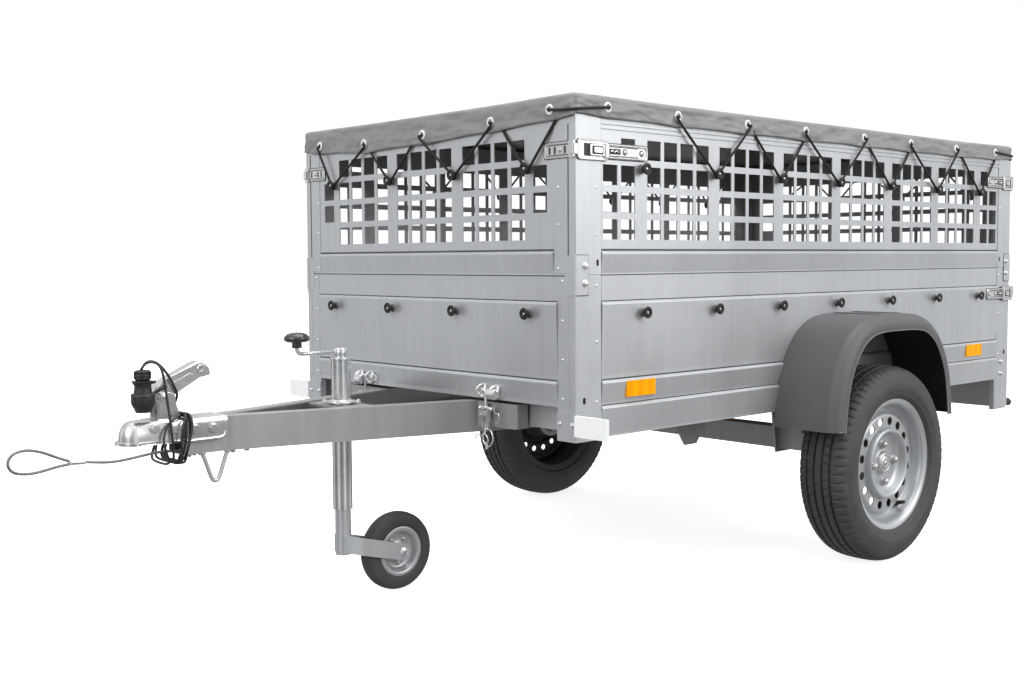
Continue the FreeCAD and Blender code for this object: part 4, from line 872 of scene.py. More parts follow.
def hooks():
    """Rows of lacing hooks: a grey foot, a ringed black cap and the rivet in its middle."""
    for title, look, profile, steps in HOOK_PARTS:
        shape, gate = bmesh.new(), bmesh.new()
        for face in WAYS:
            for along in SIDE_HOOKS if WAYS[face].y else END_HOOKS:
                spot, out = hook_spot(face, along)
                lathe(shape, profile, spot, out, steps)
                spot, out = hook_spot(face, along, LOWER_HOOK_LEVEL)
                lathe(gate if face == "rear" else shape, profile, spot + out * HOOK_STEP * MM, out, steps)
        show(title, shape, look, "box", smooth=40)
        show("gate_" + title, gate, look, "tailgate", smooth=40)


CORD_THICK = 3.3
HEM_DROP = 26 * MM
# Hooks with the eyelets on both sides, the hooks between that are reached under the hem, and how far aside.
SIDE_LACING = (((-494, -346, -622), (-1040, -880, -1170), (-1586, -1428, -1703)), (-767, -1313, -1859), 112)
END_LACING = (((-406, -471, -255), (135, 7, 274.5)), (-135, 406), 92)


def loop_round(shape, face, along, first, last, from_hem):
    """The cord from one place on the skirt round a hook and back up to another."""
    hook, out = hook_spot(face, along)
    side = AHEAD if out.y else LEFT
    neck = hook + out * 9 * MM
    turn = 10.5 * MM
    under = [neck + side * turn * across + UP * rise for across, rise in
             ((0.95, 3 * MM), (0.7, -turn * 0.75), (0, -turn), (-0.7, -turn * 0.75), (-0.95, 3 * MM))]
    ends = []
    for place in (first, last):
        spot, _ = edge_spot(face, place, HEM_DROP if from_hem else EYELET_DROP)
        hidden = spot - out * 5 * MM
        if from_hem:
            ends.append([hidden, hidden - UP * 14 * MM + out * 1.5 * MM])
        else:
            ends.append([hidden, spot + out * 4.4 * MM - UP * 3 * MM, spot + out * 4.6 * MM - UP * 14 * MM])
    if (ends[0][0] - ends[1][0]).dot(side) < 0:
        under = under[::-1]
    bar(shape, curve_through(ends[0] + under + ends[1][::-1], 5), CORD_THICK, 8)


def corner_span(shape, end_face, end_at, side_face, side_at):
    """The cord's span from the last eyelet of an end, outside the corner, to the first of a side."""
    first, out = edge_spot(end_face, end_at, EYELET_DROP)
    last, side_out = edge_spot(side_face, side_at, EYELET_DROP)
    past, sink, edge = (7, 8, FRONT) if end_face == "front" else (5, 3, REAR)
    level = (first.z + last.z) / 2 - sink * MM
    turn = Vector((edge + out.x * past * MM, side_out.y * (HALF + past * MM), level))
    path = [first - out * 5 * MM, first + out * 4.6 * MM, first.lerp(turn, 0.5) + out * 5 * MM - UP * 2 * MM,
            turn - out * 2 * MM, turn.lerp(last, 0.5) + side_out * 5 * MM, last + side_out * 4.6 * MM,
            last - side_out * 5 * MM]
    bar(shape, curve_through(path, 6), CORD_THICK, 8)


def lacing():
    """The elastic cord: out through an eyelet, round a hook and back, or under the hem to a hook between."""
    shape = bmesh.new()
    for face in WAYS:
        laced, between, reach = SIDE_LACING if WAYS[face].y else END_LACING
        for hook, first, last in laced:
            loop_round(shape, face, hook, first, last, False)
        for hook in between:
            loop_round(shape, face, hook, hook + reach, hook - reach, True)
    for span in (("front", 482, "left", -100), ("rear", 482, "left", -1965), ("rear", -471, "right", -1965)):
        corner_span(shape, *span)
    show("lacing_cord", shape, "elastic", "box", smooth=180)


# Wheels: profiles are pairs of (out from the middle plane, radius).
WHEEL_LEVEL = 273.3
WHEEL_X = -1060.6
TRACK = 671.0    # the middle plane of each tyre
TREAD_STEPS = 360
# Half of a tyre's outline from the middle out, with how each row is cut.
PLAIN, GROOVE, BLOCK, SHOULDER, LAST_BLOCK, PROTECTOR = range(6)
TYRE_PROFILE = [(0, 272.6, PLAIN), (8, 272.6, PLAIN), (9.4, 265.5, GROOVE), (14.6, 265.5, GROOVE),
                (16, 272.4, PLAIN), (31, 271.6, PLAIN), (32.4, 264.6, GROOVE), (38, 264.4, GROOVE),
                (39.4, 270.8, PLAIN), (47, 269.2, BLOCK), (56, 266.0, SHOULDER), (63.5, 260.8, SHOULDER),
                (68.6, 254.0, LAST_BLOCK), (71.6, 246.5, PLAIN), (73.4, 240.0, PLAIN), (74.3, 237.6, PLAIN),
                (74.2, 236.0, PLAIN), (75.0, 234.8, PLAIN), (76.2, 231, PLAIN), (77.6, 220.5, PLAIN),
                (77.4, 210, PLAIN), (76.6, 205.5, PLAIN), (75.8, 204.4, PLAIN), (75.2, 199.5, PLAIN),
                (72.2, 192.2, PLAIN), (71.9, 190.6, PROTECTOR), (70.0, 189.6, PLAIN), (67.6, 186.2, PLAIN),
                (64.5, 183.2, PLAIN), (60.5, 180.5, PLAIN), (58.2, 172.0, PLAIN)]


def wheel_centre(side):
    return Vector((FRONT + WHEEL_X * MM, side * TRACK * MM, WHEEL_LEVEL * MM))


def round_axle(centre, across, radius, angle):
    """A place round an axle, in millimetres from its centre."""
    return centre + Vector((math.cos(angle) * radius, across, math.sin(angle) * radius)) * MM


def tread_cut(across, kind, step):
    """How deep the tread is cut at a place: sipes over the shoulder, short ones at each groove."""
    if kind in (BLOCK, SHOULDER, LAST_BLOCK) and (step + (0 if across > 0 else 3)) % 5 == 0:
        return 3.0 if kind == LAST_BLOCK else 4.2
    if kind == PLAIN and abs(across) in (16, 31, 39.4) and (step + int(abs(across))) % 5 == 2:
        return 3.2
    if kind == PLAIN and abs(across) in (8, 0) and step % 10 == 7:
        return 1.6
    return 0.0


def tyre(side, body, node_name):
    """A road tyre: sidewall with a protector line, rounded shoulders, four grooves and shoulder sipes."""
    shape = bmesh.new()
    profile = [(-across, radius, kind) for across, radius, kind in TYRE_PROFILE[:0:-1]] + TYRE_PROFILE
    rings = [spots_in(shape, (round_axle(wheel_centre(side), across, radius - tread_cut(across, kind, step),
                                         math.tau * step / TREAD_STEPS) for step in range(TREAD_STEPS)))
             for across, radius, kind in profile]
    skin(shape, rings, closed=True)
    show(node_name + "_road", shape, "tyre", body, [node_name], 32)


RIM_PROFILE = [(54.0, 170.5), (56.4, 176.0), (57.4, 180.4), (59.2, 182.5), (61.4, 182.9), (62.8, 181.4),
               (62.3, 177.6), (60.2, 172.0), (56.8, 166.8), (51.5, 163.8), (44.0, 162.2), (38.0, 161.0),
               (31.5, 158.6), (26.0, 154.6), (22.0, 149.5), (22.4, 144.6), (26.0, 141.0), (31.0, 138.4),
               (34.6, 136.2)]
BAND = (134.0, 36.0, 101.0)    # outer radius, place across and inner radius of the ring with the holes
BOWL_PROFILE = [(38.2, 100.2), (42.2, 99.0), (46.8, 97.6), (50.2, 95.6), (51.8, 92.8), (51.4, 89.8),
                (48.8, 86.6), (44.4, 83.4), (39.0, 80.0), (34.2, 76.0), (30.8, 71.0), (28.8, 65.0),
                (27.8, 58.0), (27.4, 44.0), (27.6, 38.0), (29.4, 35.0), (30.0, 31.4)]
BOWL_FLOOR = 27.4
VENTS = 16
VENT_RING, VENT_RADIUS, VENT_LIP = 117.5, 12.0, 2.5
VENT_STEPS = 24
RIM_BARREL = [(-62.8, 181.2), (-60.0, 181.8), (-57.0, 176.0), (-55.0, 167.0), (-40.0, 164.8), (-18.0, 162.8),
              (10.0, 162.8), (28.0, 164.8), (50.0, 167.8)]
RIM_STEPS = 96


def vented_band(shape, centre, side):
    """A flat ring with round holes: filled between two circles, the spokes and each hole's edge."""
    outer, across, inner = BAND
    per_sector = RIM_STEPS // VENTS

    def put(radius, angle):
        return shape.verts.new(round_axle(centre, side * across, radius, angle))
    circles = [[put(radius, math.tau * k / RIM_STEPS) for k in range(RIM_STEPS)] for radius in (outer, inner)]
    spokes = [[put(outer + (inner - outer) * k / per_sector, math.tau * number / VENTS)
               for k in range(1, per_sector)] for number in range(VENTS)]
    for number in range(VENTS):
        angle = math.tau * (number + 0.5) / VENTS
        turn = [angle + math.tau * (k + 0.5) / VENT_STEPS for k in range(VENT_STEPS)]
        loops = []
        for deep, radius in ((across, VENT_RADIUS), (across - VENT_LIP, VENT_RADIUS - 1)):
            middle = round_axle(centre, side * deep, VENT_RING, angle)
            loops.append(spots_in(shape, (round_axle(middle, 0, radius, a) for a in turn)))
        skin(shape, loops)
        steps = [(number * per_sector + k) % RIM_STEPS for k in range(per_sector + 1)]
        border = [circles[0][k] for k in steps] + spokes[(number + 1) % VENTS]
        border += [circles[1][k] for k in steps[::-1]] + spokes[number][::-1]
        edges = [shape.edges.get(pair) or shape.edges.new(pair) for loop in (border, loops[0])
                 for pair in zip(loop, loop[1:] + loop[:1])]
        bmesh.ops.triangle_fill(shape, edges=edges, use_beauty=True, use_dissolve=False)
    return circles


def rim(side, body, node_name):
    """A pressed steel rim: deep flange, a ring of holes, a ridge and the bowl."""
    centre = wheel_centre(side)
    shape = bmesh.new()

    def rows(profile):
        return [spots_in(shape, (round_axle(centre, side * across, radius, math.tau * k / RIM_STEPS)
                                 for k in range(RIM_STEPS))) for across, radius in profile]
    outer, inner = vented_band(shape, centre, side)
    skin(shape, rows(RIM_BARREL + RIM_PROFILE) + [outer])
    skin(shape, [inner] + rows(BOWL_PROFILE))
    thing = show(node_name + "_pressed", shape, "rim", body, [node_name], 40, second="under")
    # The inner shell takes the second finish, a dark grey painted as the shade on the rim's inner faces.
    thick = thing.modifiers.new("sheet", "SOLIDIFY")
    thick.thickness = 2.4 * MM
    thick.material_offset = 1
    thick.offset = -1 if side > 0 else 1


HUB_CAP = [(31.5, 24), (31.5, 28), (30.8, 31.6), (29.6, 33.2), (28.8, 35.0), (27.6, 37.0), (25.2, 38.2),
           (22.6, 38.4), (21.4, 37.4), (20.2, 37.4), (19.0, 38.6), (13, 39.8), (9.4, 40.2), (8.6, 39.4),
           (7.4, 39.4), (6.4, 40.6), (0, 41.2)]
HUB_DRUM = [(0, -66), (48, -66), (50, -64), (50, -40), (62, -38), (64, -36), (64, 21), (62, 23.6), (0, 23.6)]
VALVE = [(7.5, -6), (8, 0), (6.2, 5), (5.4, 16), (4.6, 18), (4.6, 26), (4.0, 27.2), (0, 27.4)]
VALVE_AT = (30, 146, math.radians(238))    # across, radius and turn


def wheel_fittings(side, body, name):
    """Bolts, the cap over the hub, the hub and the tyre's valve."""
    centre = wheel_centre(side)
    out = LEFT * side
    shape, cap, hub, valve = (bmesh.new() for _ in range(4))
    for spot in ring_points(centre + out * BOWL_FLOOR * MM, out, 52, 4, math.radians(4)):
        lathe(shape, [(13.5, -1), (13.5, 1.5), (11.4, 4.6), (10.2, 5.4), (0, 5.4)], spot, out, 24)
        slab(shape, ring_points(spot + out * 4.8 * MM, out, 10.6, 6), out * 9.5 * MM, 1.4)
        lathe(shape, [(8.0, 13.4), (6.4, 15.6), (3.6, 16.8), (0, 17.2)], spot, out, 20)
    show("wheel_bolts_" + name, shape, "cap_silver", body, smooth=50, flat=True)
    lathe(cap, HUB_CAP, centre, out, 48)
    for spot in ring_points(centre + out * 38.2 * MM, out, 14.2, 7, 0.2):
        rivet(cap, spot, out, 2.4, 1.8)
    show("hub_cap_" + name, cap, "cap_silver", body, ["hub_" + name], 45)
    lathe(hub, HUB_DRUM, centre, out, 40)
    show("hub_drum_" + name, hub, "dipped", body, smooth=40)
    across, radius, angle = VALVE_AT
    spot = round_axle(centre, side * across, radius, angle)
    lathe(valve, VALVE, spot, out * 0.8 - (spot - centre).normalized() * 0.25, 18)
    show("valve_" + name, valve, "black", body, smooth=50)


def wheels():
    for side, name in ((1, "left"), (-1, "right")):
        tyre(side, "wheel_" + name, "tyre_" + name)
        rim(side, "wheel_" + name, "rim_" + name)
        wheel_fittings(side, "wheel_" + name, name)


FENDER_LINE = ((308, 390), (305, 425), (300, 462), (289, 515), (269, 565), (238, 614), (198, 652),
               (148, 677), (90, 687), (0, 689), (-90, 687), (-148, 677), (-198, 652), (-238, 614),
               (-269, 565), (-289, 515), (-300, 462), (-305, 425), (-308, 390))
FENDER_WIDE = 196.5
FENDER_EDGE = 33.0    # radius between the top and the skirt
FENDER_SKIRT = 44.0    # how deep the skirt reaches
FENDER_SHEET = 4.0


def rounded_section(wide, deep, radius):
    """Half of a fender's section: flat over the wheel, then round into the skirt."""
    turns = [math.radians(10 * k) for k in range(10)]
    return [(0.5, deep), ((wide - radius) * 0.5, deep), (wide - radius - 4, deep)] + [
        (wide - radius + radius * math.sin(a), deep + radius - radius * math.cos(a)) for a in turns]


def fender_section():
    """Pairs of (out from the wall, in from the outer line) round the fender's sheet, outer face first."""
    bead = [(FENDER_WIDE - wide, FENDER_SKIRT + deep) for wide, deep in
            ((0, -2), (0.4, 0), (2, 0.8), (3.6, 0), (FENDER_SHEET, -2))]
    inner = rounded_section(FENDER_WIDE - FENDER_SHEET, FENDER_SHEET, FENDER_EDGE - FENDER_SHEET)
    return rounded_section(FENDER_WIDE, 0, FENDER_EDGE) + bead, inner[::-1]


def into_arch(line, number):
    """The way into the arch from a point of the fender's line."""
    ahead = heading(line, number)
    lean = -abs(ahead.z) * math.copysign(1, line[number].x) if abs(ahead.z) > 0.001 else 0
    return Vector((lean, 0, -abs(ahead.x)))


def fender_line():
    return curve_through([Vector((x, 0, z)) * MM for x, z in FENDER_LINE], 4)


def beside_box(side, spot, out):
    """A place of the fender's line moved out from the side wall."""
    return Vector((FRONT + WHEEL_X * MM + spot.x, side * (HALF + out * MM), spot.z))


def fender(side, name):
    """A rounded sheet over the wheel with a deep outer skirt, two ribs on top, and its inside painted near
    black as shade.
    """
    line = fender_line()
    outer, inner = fender_section()
    shape = bmesh.new()
    rows = []
    for number, point in enumerate(line):
        inward = into_arch(line, number)
        if number in (0, len(line) - 1):
            inward = AHEAD * -math.copysign(1, point.x)
        rows.append(spots_in(shape, (beside_box(side, point, wide) + inward * deep * MM
                                     for wide, deep in outer + inner)))
    skin(shape, rows)
    cap_ends(shape, rows)
    bmesh.ops.recalc_face_normals(shape, faces=shape.faces)
    shape.verts.index_update()
    count = len(outer) + len(inner)
    # The inner faces take the second finish: near black painted as shade, darker than the moulding itself.
    for face in shape.faces:
        if len(face.verts) == 4 and all(vertex.index % count >= len(outer) - 1 for vertex in face.verts):
            face.material_index = 1
    for along in (46, -46):
        low, high = (beside_box(side, Vector(((along + reach) * MM, 0, level)), out)
                     for reach, out, level in ((-12, 18, 0.6875), (12, 158, 0.6912)))
        low.y, high.y = sorted((low.y, high.y))
        box(shape, low, high, 1.6, 3)
    show(name + "_moulded", shape, "moulding", "box", [name], 40, False, "painted_shade_black")


# The lip across a fender's end: out from the wall, in from the end.
FENDER_FOOT = ((4, 1.6), (80, 1.6), (FENDER_WIDE - FENDER_EDGE, 1.6), (185, 10), (194.5, 22), (195.9, 43))


def fender_lip_highlights():
    """A paler bar painted as the highlight along each fender's arch and its lower ends."""
    shape = bmesh.new()
    line = fender_line()
    for side, _ in SIDES:
        bar(shape, [beside_box(side, point, FENDER_WIDE - 0.6) + into_arch(line, number) * FENDER_SKIRT * MM
                    for number, point in enumerate(line)], 1.3, 8)
        for end in (line[0], line[-1]):
            lean = math.copysign(1, end.x)
            bar(shape, [beside_box(side, end + Vector((-lean * deep, 0, 0.6)) * MM, out)
                        for out, deep in FENDER_FOOT], 1.3, 8)
    show("fender_lip_highlights", shape, "lip", "box", smooth=60)


def fenders():
    for side, name in ((1, "fender_left"), (-1, "fender_right")):
        fender(side, name)
    fender_lip_highlights()


# Fastenings and fittings.


def side_spot(face, side, back, out, level):
    """A place on a side wall: back from an end of the box, out from the wall, and up."""
    edge, sign = (FRONT, -1) if face == "front" else (REAR, 1)
    return Vector((edge + sign * back * MM, side * (HALF + out * MM), level * MM))


def end_spot(face, side, across, out, level):
    """A place on an end wall: across from the middle, out from the wall, and up."""
    edge, sign = (FRONT, 1) if face == "front" else (REAR, -1)
    return Vector((edge + sign * out * MM, side * across * MM, level * MM))


def rounded_outline(u0, u1, v0, v1, radius, steps=4):
    """A rectangle with round corners, as pairs."""
    line = []
    for u, v, turn in ((u1 - radius, v1 - radius, 0), (u0 + radius, v1 - radius, 90),
                       (u0 + radius, v0 + radius, 180), (u1 - radius, v0 + radius, 270)):
        for step in range(steps + 1):
            angle = math.radians(turn + 90 * step / steps)
            line.append((u + radius * math.cos(angle), v + radius * math.sin(angle)))
    return line


POST_STRIP = 1.6    # thickness of the folded strips over the posts
POST_WIDE = 83
PLATE = (762, 853)    # the joining plates' lower and upper edges
LEDGE = ((-0.3, 2.0), (0.3, 1.4), (4.9, -3.6), (5.3, -4.6), (5.2, -5.8))    # a step's pairs of (out, up)
RAILS = ((1142, 1149), (1153, 1160))    # low and high edge of each rail under the cover
# Each corner of the box: its end wall's name, its side's sign, and the ways out of the end and of the side.
CORNERS = [(face, side, way, out) for face, way in (("front", AHEAD), ("rear", -AHEAD))
           for side, out in SIDES]


def fasteners():
    """Rivets along the posts, and the screws of the joining plates."""
    shape = bmesh.new()
    for face, side, ahead, out in CORNERS:
        for level in (1007.7, 899, 783, 653.5, 514):
            rivet(shape, side_spot(face, side, 67.5, 0, level), out, 4.6, 2.4)
        for level in (1008, 923, 823):
            rivet(shape, end_spot(face, side, 500, 0, level), ahead, 4.6, 2.4)
        for level in (828.6, 788.9):
            screw(shape, side_spot(face, side, 28.4, 2.4, level), out, 12, 5.5, 8.5, 3.6)
        if face == "rear":
            for level in (487, 447):
                screw(shape, side_spot(face, side, 48, 0, level), out, 12, 5.5, 8.5, 3.6)
            continue
        for level in (794, 703, 613.6, 522.6):
            rivet(shape, end_spot(face, side, 514, 0, level), ahead, 4.6, 2.4)
        for across in (505, 546):
            screw(shape, end_spot(face, side, across, 2, 465), ahead, 8, 3.0, 6.5, 2.6)
    show("post_fasteners", shape, "zinc", "box", smooth=50)


def patch(shape, spot, outline, lift, soft=0.5):
    """A plate on a face: spot gives the place for each pair of the outline."""
    slab(shape, [spot(u, v) for u, v in outline], lift * MM, soft)


def post_opening_shade():
    """Near black patches painted as the shade in the slots of the posts and in small drilled holes in the
    walls.
    """
    shape = bmesh.new()
    for face, side, _, out in CORNERS:
        for back, level, half in ((26.5, 520, 3.6), (70.6, 836, 3.4)):
            outline = rounded_outline(back - half, back + half, level - 7.5, level + 7.5, 3.2)
            patch(shape, lambda u, v: side_spot(face, side, u, 0, v), outline, out * (POST_STRIP + 0.5), 0)
        lathe(shape, [(2.2, -0.2), (2.2, 0.5), (0, 0.5)], side_spot(face, side, 136, 0, 720.3), out, 12)
    show("post_slot_shade", shape, "painted_shade_black", "box")


def ledge(shape, painted_shade_strips, first, last, out, level, fade):
    """A pressed step: the sheet below stands out and leans back to the wall, under a dark strip of painted
    shade.
    """
    rows = [spots_in(shape, (end + out * push * MM + UP * (level + rise) * MM
                             for push, rise in LEDGE + ((-0.3, -fade),))) for end in (first, last)]
    skin(shape, rows)
    cap_ends(shape, rows)
    line_strip(painted_shade_strips, first + UP * (level + 3.0) * MM, last + UP * (level + 3.0) * MM, out, 1.8)


def line_strip(shape, first, last, out, wide, thick=0.5):
    """A thin flat strip along a line, square to the way out."""
    over = (last - first).normalized().cross(out) * wide / 2 * MM
    slab(shape, [first - over, last - over, last + over, first + over], out * thick * MM, 0)


SIDE_LEDGES = ((861.5, 52), (744.5, 178), (561, 54), (502, 70))    # level and how far down each leans back
FRONT_LEDGES = ((861.5, 486.5, 52), (744.5, 498, 178), (561, 498, 50))    # level, half length and the same
REAR_LEDGES = ((861.5, 486.5, 50),)
GATE_LEDGES = ((744.5, 486, 50), (561, 486, 50))


def wall_ends(side, clear):
    """Both ends of a side wall between the posts, at the ground."""
    reach = (POST_WIDE + clear) * MM
    return [Vector((x, side * HALF, 0)) for x in (REAR + reach, FRONT - reach)]


def side_ledges(walls, painted_shade_strips):
    for side, out in SIDES:
        low, high = wall_ends(side, 1)
        for level, fade in SIDE_LEDGES:
            ledge(walls, painted_shade_strips, low, high, out, level, fade)
        # Painted shade along the seam and beside the posts.
        line_strip(painted_shade_strips, low + UP * 807.5 * MM, high + UP * 807.5 * MM, out, 2.2)
        for foot in wall_ends(side, 0.6):
            line_strip(painted_shade_strips, foot + UP * 512 * MM, foot + UP * 1160 * MM, out, 1.6, 0.4)


def end_ledges(walls, painted_shade_strips, edge, out, steps):
    for level, reach, fade in steps:
        low, high = (Vector((edge, across * reach * MM, 0)) for across in (-1, 1))
        ledge(walls, painted_shade_strips, low, high, out, level, fade)


def ledges():
    """The pressed steps of the walls, and dark strips of painted shade along folds, seams, post edges and
    round the joining plates.
    """
    walls, gate, painted_shade_strips, gate_painted_shade_strips = (bmesh.new() for _ in range(4))
    side_ledges(walls, painted_shade_strips)
    for face, side, _, out in CORNERS:
        # A dark outline painted as shade round each joining plate.
        patch(painted_shade_strips, lambda u, v: side_spot(face, side, u, 1.2, v),
              rounded_outline(0, 41.4, PLATE[0] - 1.6, PLATE[1] + 1.6, 3), out * 0.8, 0)
    for edge, out, steps in ((FRONT, AHEAD, FRONT_LEDGES), (REAR, -AHEAD, REAR_LEDGES)):
        end_ledges(walls, painted_shade_strips, edge, out, steps)
        for across in (-1, 1):
            foot = Vector((edge, across * 534.8 * MM, 0))
            line_strip(painted_shade_strips, foot + UP * 806 * MM, foot + UP * 1150 * MM, out, 2.4)
    seam = [Vector((FRONT, across * 534 * MM, 806 * MM)) for across in (-1, 1)]
    line_strip(painted_shade_strips, *seam, AHEAD, 2.4)
    end_ledges(gate, gate_painted_shade_strips, REAR, -AHEAD, GATE_LEDGES)
    show("wall_ledges", walls, "galvanised", "box", smooth=50, flat=True)
    show("gate_ledges", gate, "galvanised", "tailgate", smooth=50, flat=True)
    show("wall_painted_shade_strips", painted_shade_strips, "seam", "box")
    show("gate_painted_shade_strips", gate_painted_shade_strips, "seam", "tailgate")


def trims():
    """The folded edges at the corners, the rails under the cover and the joining plates."""
    shape = bmesh.new()
    for face, side, ahead, out in CORNERS:
        foot = 494 if face == "front" else 332
        # Low and high across, low and high level, corner radius, thickness and softness of each strip.
        on_side = [(0.2, POST_WIDE, 809, 1165, 0.8, POST_STRIP, 0.5),
                   (0.2, POST_WIDE, foot, 805, 0.8, 0.9, 0.4), (-1.5, 39.5, *PLATE, 2.5, 3.4, 0.9)]
        on_end = [(537, 555.8, 512, 1150, 0.8, POST_STRIP, 0.5), (488, 532, 812, 1150, 0.8, 1.3, 0.5),
                  (545, 557.5, *PLATE, 1.5, 3.4, 0.9)]
        if face == "front":
            on_end.append((500, 536, 512, 804, 0.8, 1.0, 0.4))
        for strips, spot, way in ((on_side, side_spot, out), (on_end, end_spot, ahead)):
            for u0, u1, v0, v1, radius, thick, soft in strips:
                steps = 4 if (v0, v1) == PLATE else 1
                patch(shape, lambda u, v: spot(face, side, u, 0, v),
                      rounded_outline(u0, u1, v0, v1, radius, steps), way * thick, soft)
        corner = side_spot(face, side, 0.4, 0.6, 0)
        bar(shape, [corner + UP * z * MM for z in (PLATE[0] + 1, PLATE[1] - 1)], 3.2, 12)
        bar(shape, [corner + UP * z * MM - out * 1.0 * MM for z in (foot + 2, 758)], 1.8, 10)
    for side, out in SIDES:
        rear, front = wall_ends(side, 0)
        for low, high in RAILS:
            strip = [end + UP * z * MM for end, z in ((front, low), (rear, low), (rear, high), (front, high))]
            slab(shape, strip, out * 2.2 * MM, 1.5, 3)
    show("folded_edges", shape, "galvanised", "box", smooth=50, flat=True)


STEP_CLEAR = 4.4    # how far the gate latches stand out past the pressed step below them
LATCH_LEVEL = 1092
GATE_LATCH = 720
# Plates of a latch: near and far edge, low and high edge, corner radius, foot, top and softness.
# A plate with no softness is a dark line of painted shade and goes to the shade mesh.
LATCH_PLATES = [(60, 229, -17.5, 17.5, 5, 0.2, 2.4, 0.5),
                (58, 230.6, -19.2, 19.2, 6, POST_STRIP - 0.1, POST_STRIP + 0.4, 0),
                (92, 196, -11.68, -9.636, 0.8, 2.2, 2.8, 0), (92, 196, 9.636, 11.68, 0.8, 2.2, 2.8, 0),
                (97, 136, -6.5, 6.5, 5, 2.2, 2.9, 0), (-5, 88, -22.4, -14, 3, 2.4, 4.6, 0.7),
                (-5, 88, 14, 22.4, 3, 2.4, 4.6, 0.7), (-7, 12, -22.4, 22.4, 4, 3.0, 5.2, 0.9),
                (-8.5, 90.5, -24.2, 24.2, 7, POST_STRIP - 0.1, POST_STRIP + 1.0, 0),
                (12, 90, -14, 14, 2, 2.3, 3.0, 0), (30, 78, -13, 13, 4, 3.0, 8.0, 1.4),
                (36, 72, -9.5, 9.5, 3, 7.8, 8.4, 0), (40, 68, -6.5, 6.5, 3, 8.0, 10.8, 0.9)]
KEEPER_PLATES = [
    (458, 557, -18, 18, 4, 0.3, 2.4, 0.5), (456, 558, -19.8, 19.8, 5, 0.1, 1.9, 0),
    (466, 540, -12.6, -10.5, 0.8, 2.0, 2.8, 0), (466, 540, 10.5, 12.6, 0.8, 2.0, 2.8, 0),
    (540, 558, -20, 20, 3, 1.6, 6.0, 1.2)] + [(u - 3, u + 3, -9, 9, 3, 2.2, 2.9, 0) for u in (476, 493, 526)]
# Beads and wires of a latch: radius, then places back, out and up.
LATCH_WIRES = [
    (2.2, [(64, 2.4, v), (100, 3.0, v), (200, 3.0, v), (219, 2.6, v * 0.96), (225, 2.4, v * 0.6)])
    for v in (-14.6, 14.6)] + [
    (2.2, [(225, 2.6, -9), (226.5, 2.8, 0), (225, 2.6, 9)]),
    (2.0, [(100, 4.2, -1), (106, 5.4, 2), (112, 4.6, -2), (119, 5.2, 2), (126, 4.4, -1), (132, 3.2, 0)])]
LATCH_LEVER = ((76, 2.5), (76, 8.5), (80, 11), (88, 11), (92, 8.5), (92, 2.5))
CORNER_HOOK = ((4, 5.6), (-7, 5.6), (-9.5, 3), (-9.5, -10), (-6.5, -10), (-6.5, 1.6), (4, 2.6))


def plates(shape, shade, spot, out, rows):
    for *outline, foot, top, soft in rows:
        patch(shape if soft else shade, lambda u, v: spot(u, foot, v), rounded_outline(*outline),
              out * (top - foot), soft)


def latch(shape, shade, face, side, level, lift=0):
    """A toggle latch: a ribbed strap with rivets, the draw frame round the corner, its lever and the hook."""
    out = LEFT * side
    span, shift = (1.0, 12) if face == "front" else (0.74, -6)

    def spot(u, o, v):
        return side_spot(face, side, u * span + shift, o + lift, level + v)
    plates(shape, shade, spot, out, LATCH_PLATES)
    loop = rounded_outline(-7, 88, -21.8, 21.8, 6)
    for radius, points in LATCH_WIRES + [(1.7, [(u, 5.2, v) for u, v in loop + loop[:1]])]:
        bar(shape, [spot(*point) for point in points], radius, 8)
    for u in (150, 207):
        # A dark ring painted as shade round each rivet.
        lathe(shade, [(7.4, 2.0), (7.4, 2.8), (0, 2.8)], spot(u, 0, 0), out, 20)
        rivet(shape, spot(u, 2.6, 0), out, 5.4, 2.8)
    slab(shape, [spot(u, o, -16.5) for u, o in LATCH_LEVER], UP * 33 * MM, 1.2)
    slab(shape, [side_spot(face, side, u, o, level - 12) for u, o in CORNER_HOOK], UP * 24 * MM, 0.6)


def keeper(shape, shade, face, side, ahead, level):
    """A latch's plate on the end wall, with its beads and screw."""
    def spot(u, o, v):
        return end_spot(face, side, u, o, level + v)
    plates(shape, shade, spot, ahead, KEEPER_PLATES)
    for v in (-15, 15):
        bar(shape, [spot(u, 2.2, v) for u in (463, 480, 535, 553)], 1.8, 8)
    bar(shape, [spot(461.5, 2.2, v) for v in (-14, 0, 14)], 1.8, 8)
    screw(shape, spot(508, 1.6, 0), ahead, 8, 2.6, 6, 0)


def latches():
    """Latches at the upper corners and at the tailgate's sides, with painted shade in their recesses, round
    their plates and under their rivets.
    """
    corner, gate, shade = (bmesh.new() for _ in range(3))
    for face, side, ahead, _ in CORNERS:
        latch(corner, shade, face, side, LATCH_LEVEL)
        keeper(corner, shade, face, side, ahead, LATCH_LEVEL)
    for side, _ in SIDES:
        latch(gate, shade, "rear", side, GATE_LATCH, STEP_CLEAR)
    show("corner_latch_set", corner, "latch", "box", ["corner_latches"], 50, flat=True)
    show("gate_latch_set", gate, "latch", "box", ["gate_latches"], 50, flat=True)
    show("latch_painted_shade", shade, "seam", "box")


TIP_ROLLER = [(0, -15), (11, -15), (13.5, -12.5), (13.5, 12.5), (11, 15), (0, 15)]
TOGGLE_AXLE = ((238, 481), (246, 482), (268, 482), (276, 481))
TOGGLE_CHEEK = ((7, 479), (19, 479), (20, 466), (17, 430), (11, 429), (7, 462))
PIN_CLIP = ((222, 404), (228, 412), (236, 416), (245, 412), (252, 418), (262, 417), (270, 406), (266, 396),
            (256, 398), (251, 410), (256, 421))
PIN_TAB = ((259, 398), (267, 400), (270, 384), (261, 380))


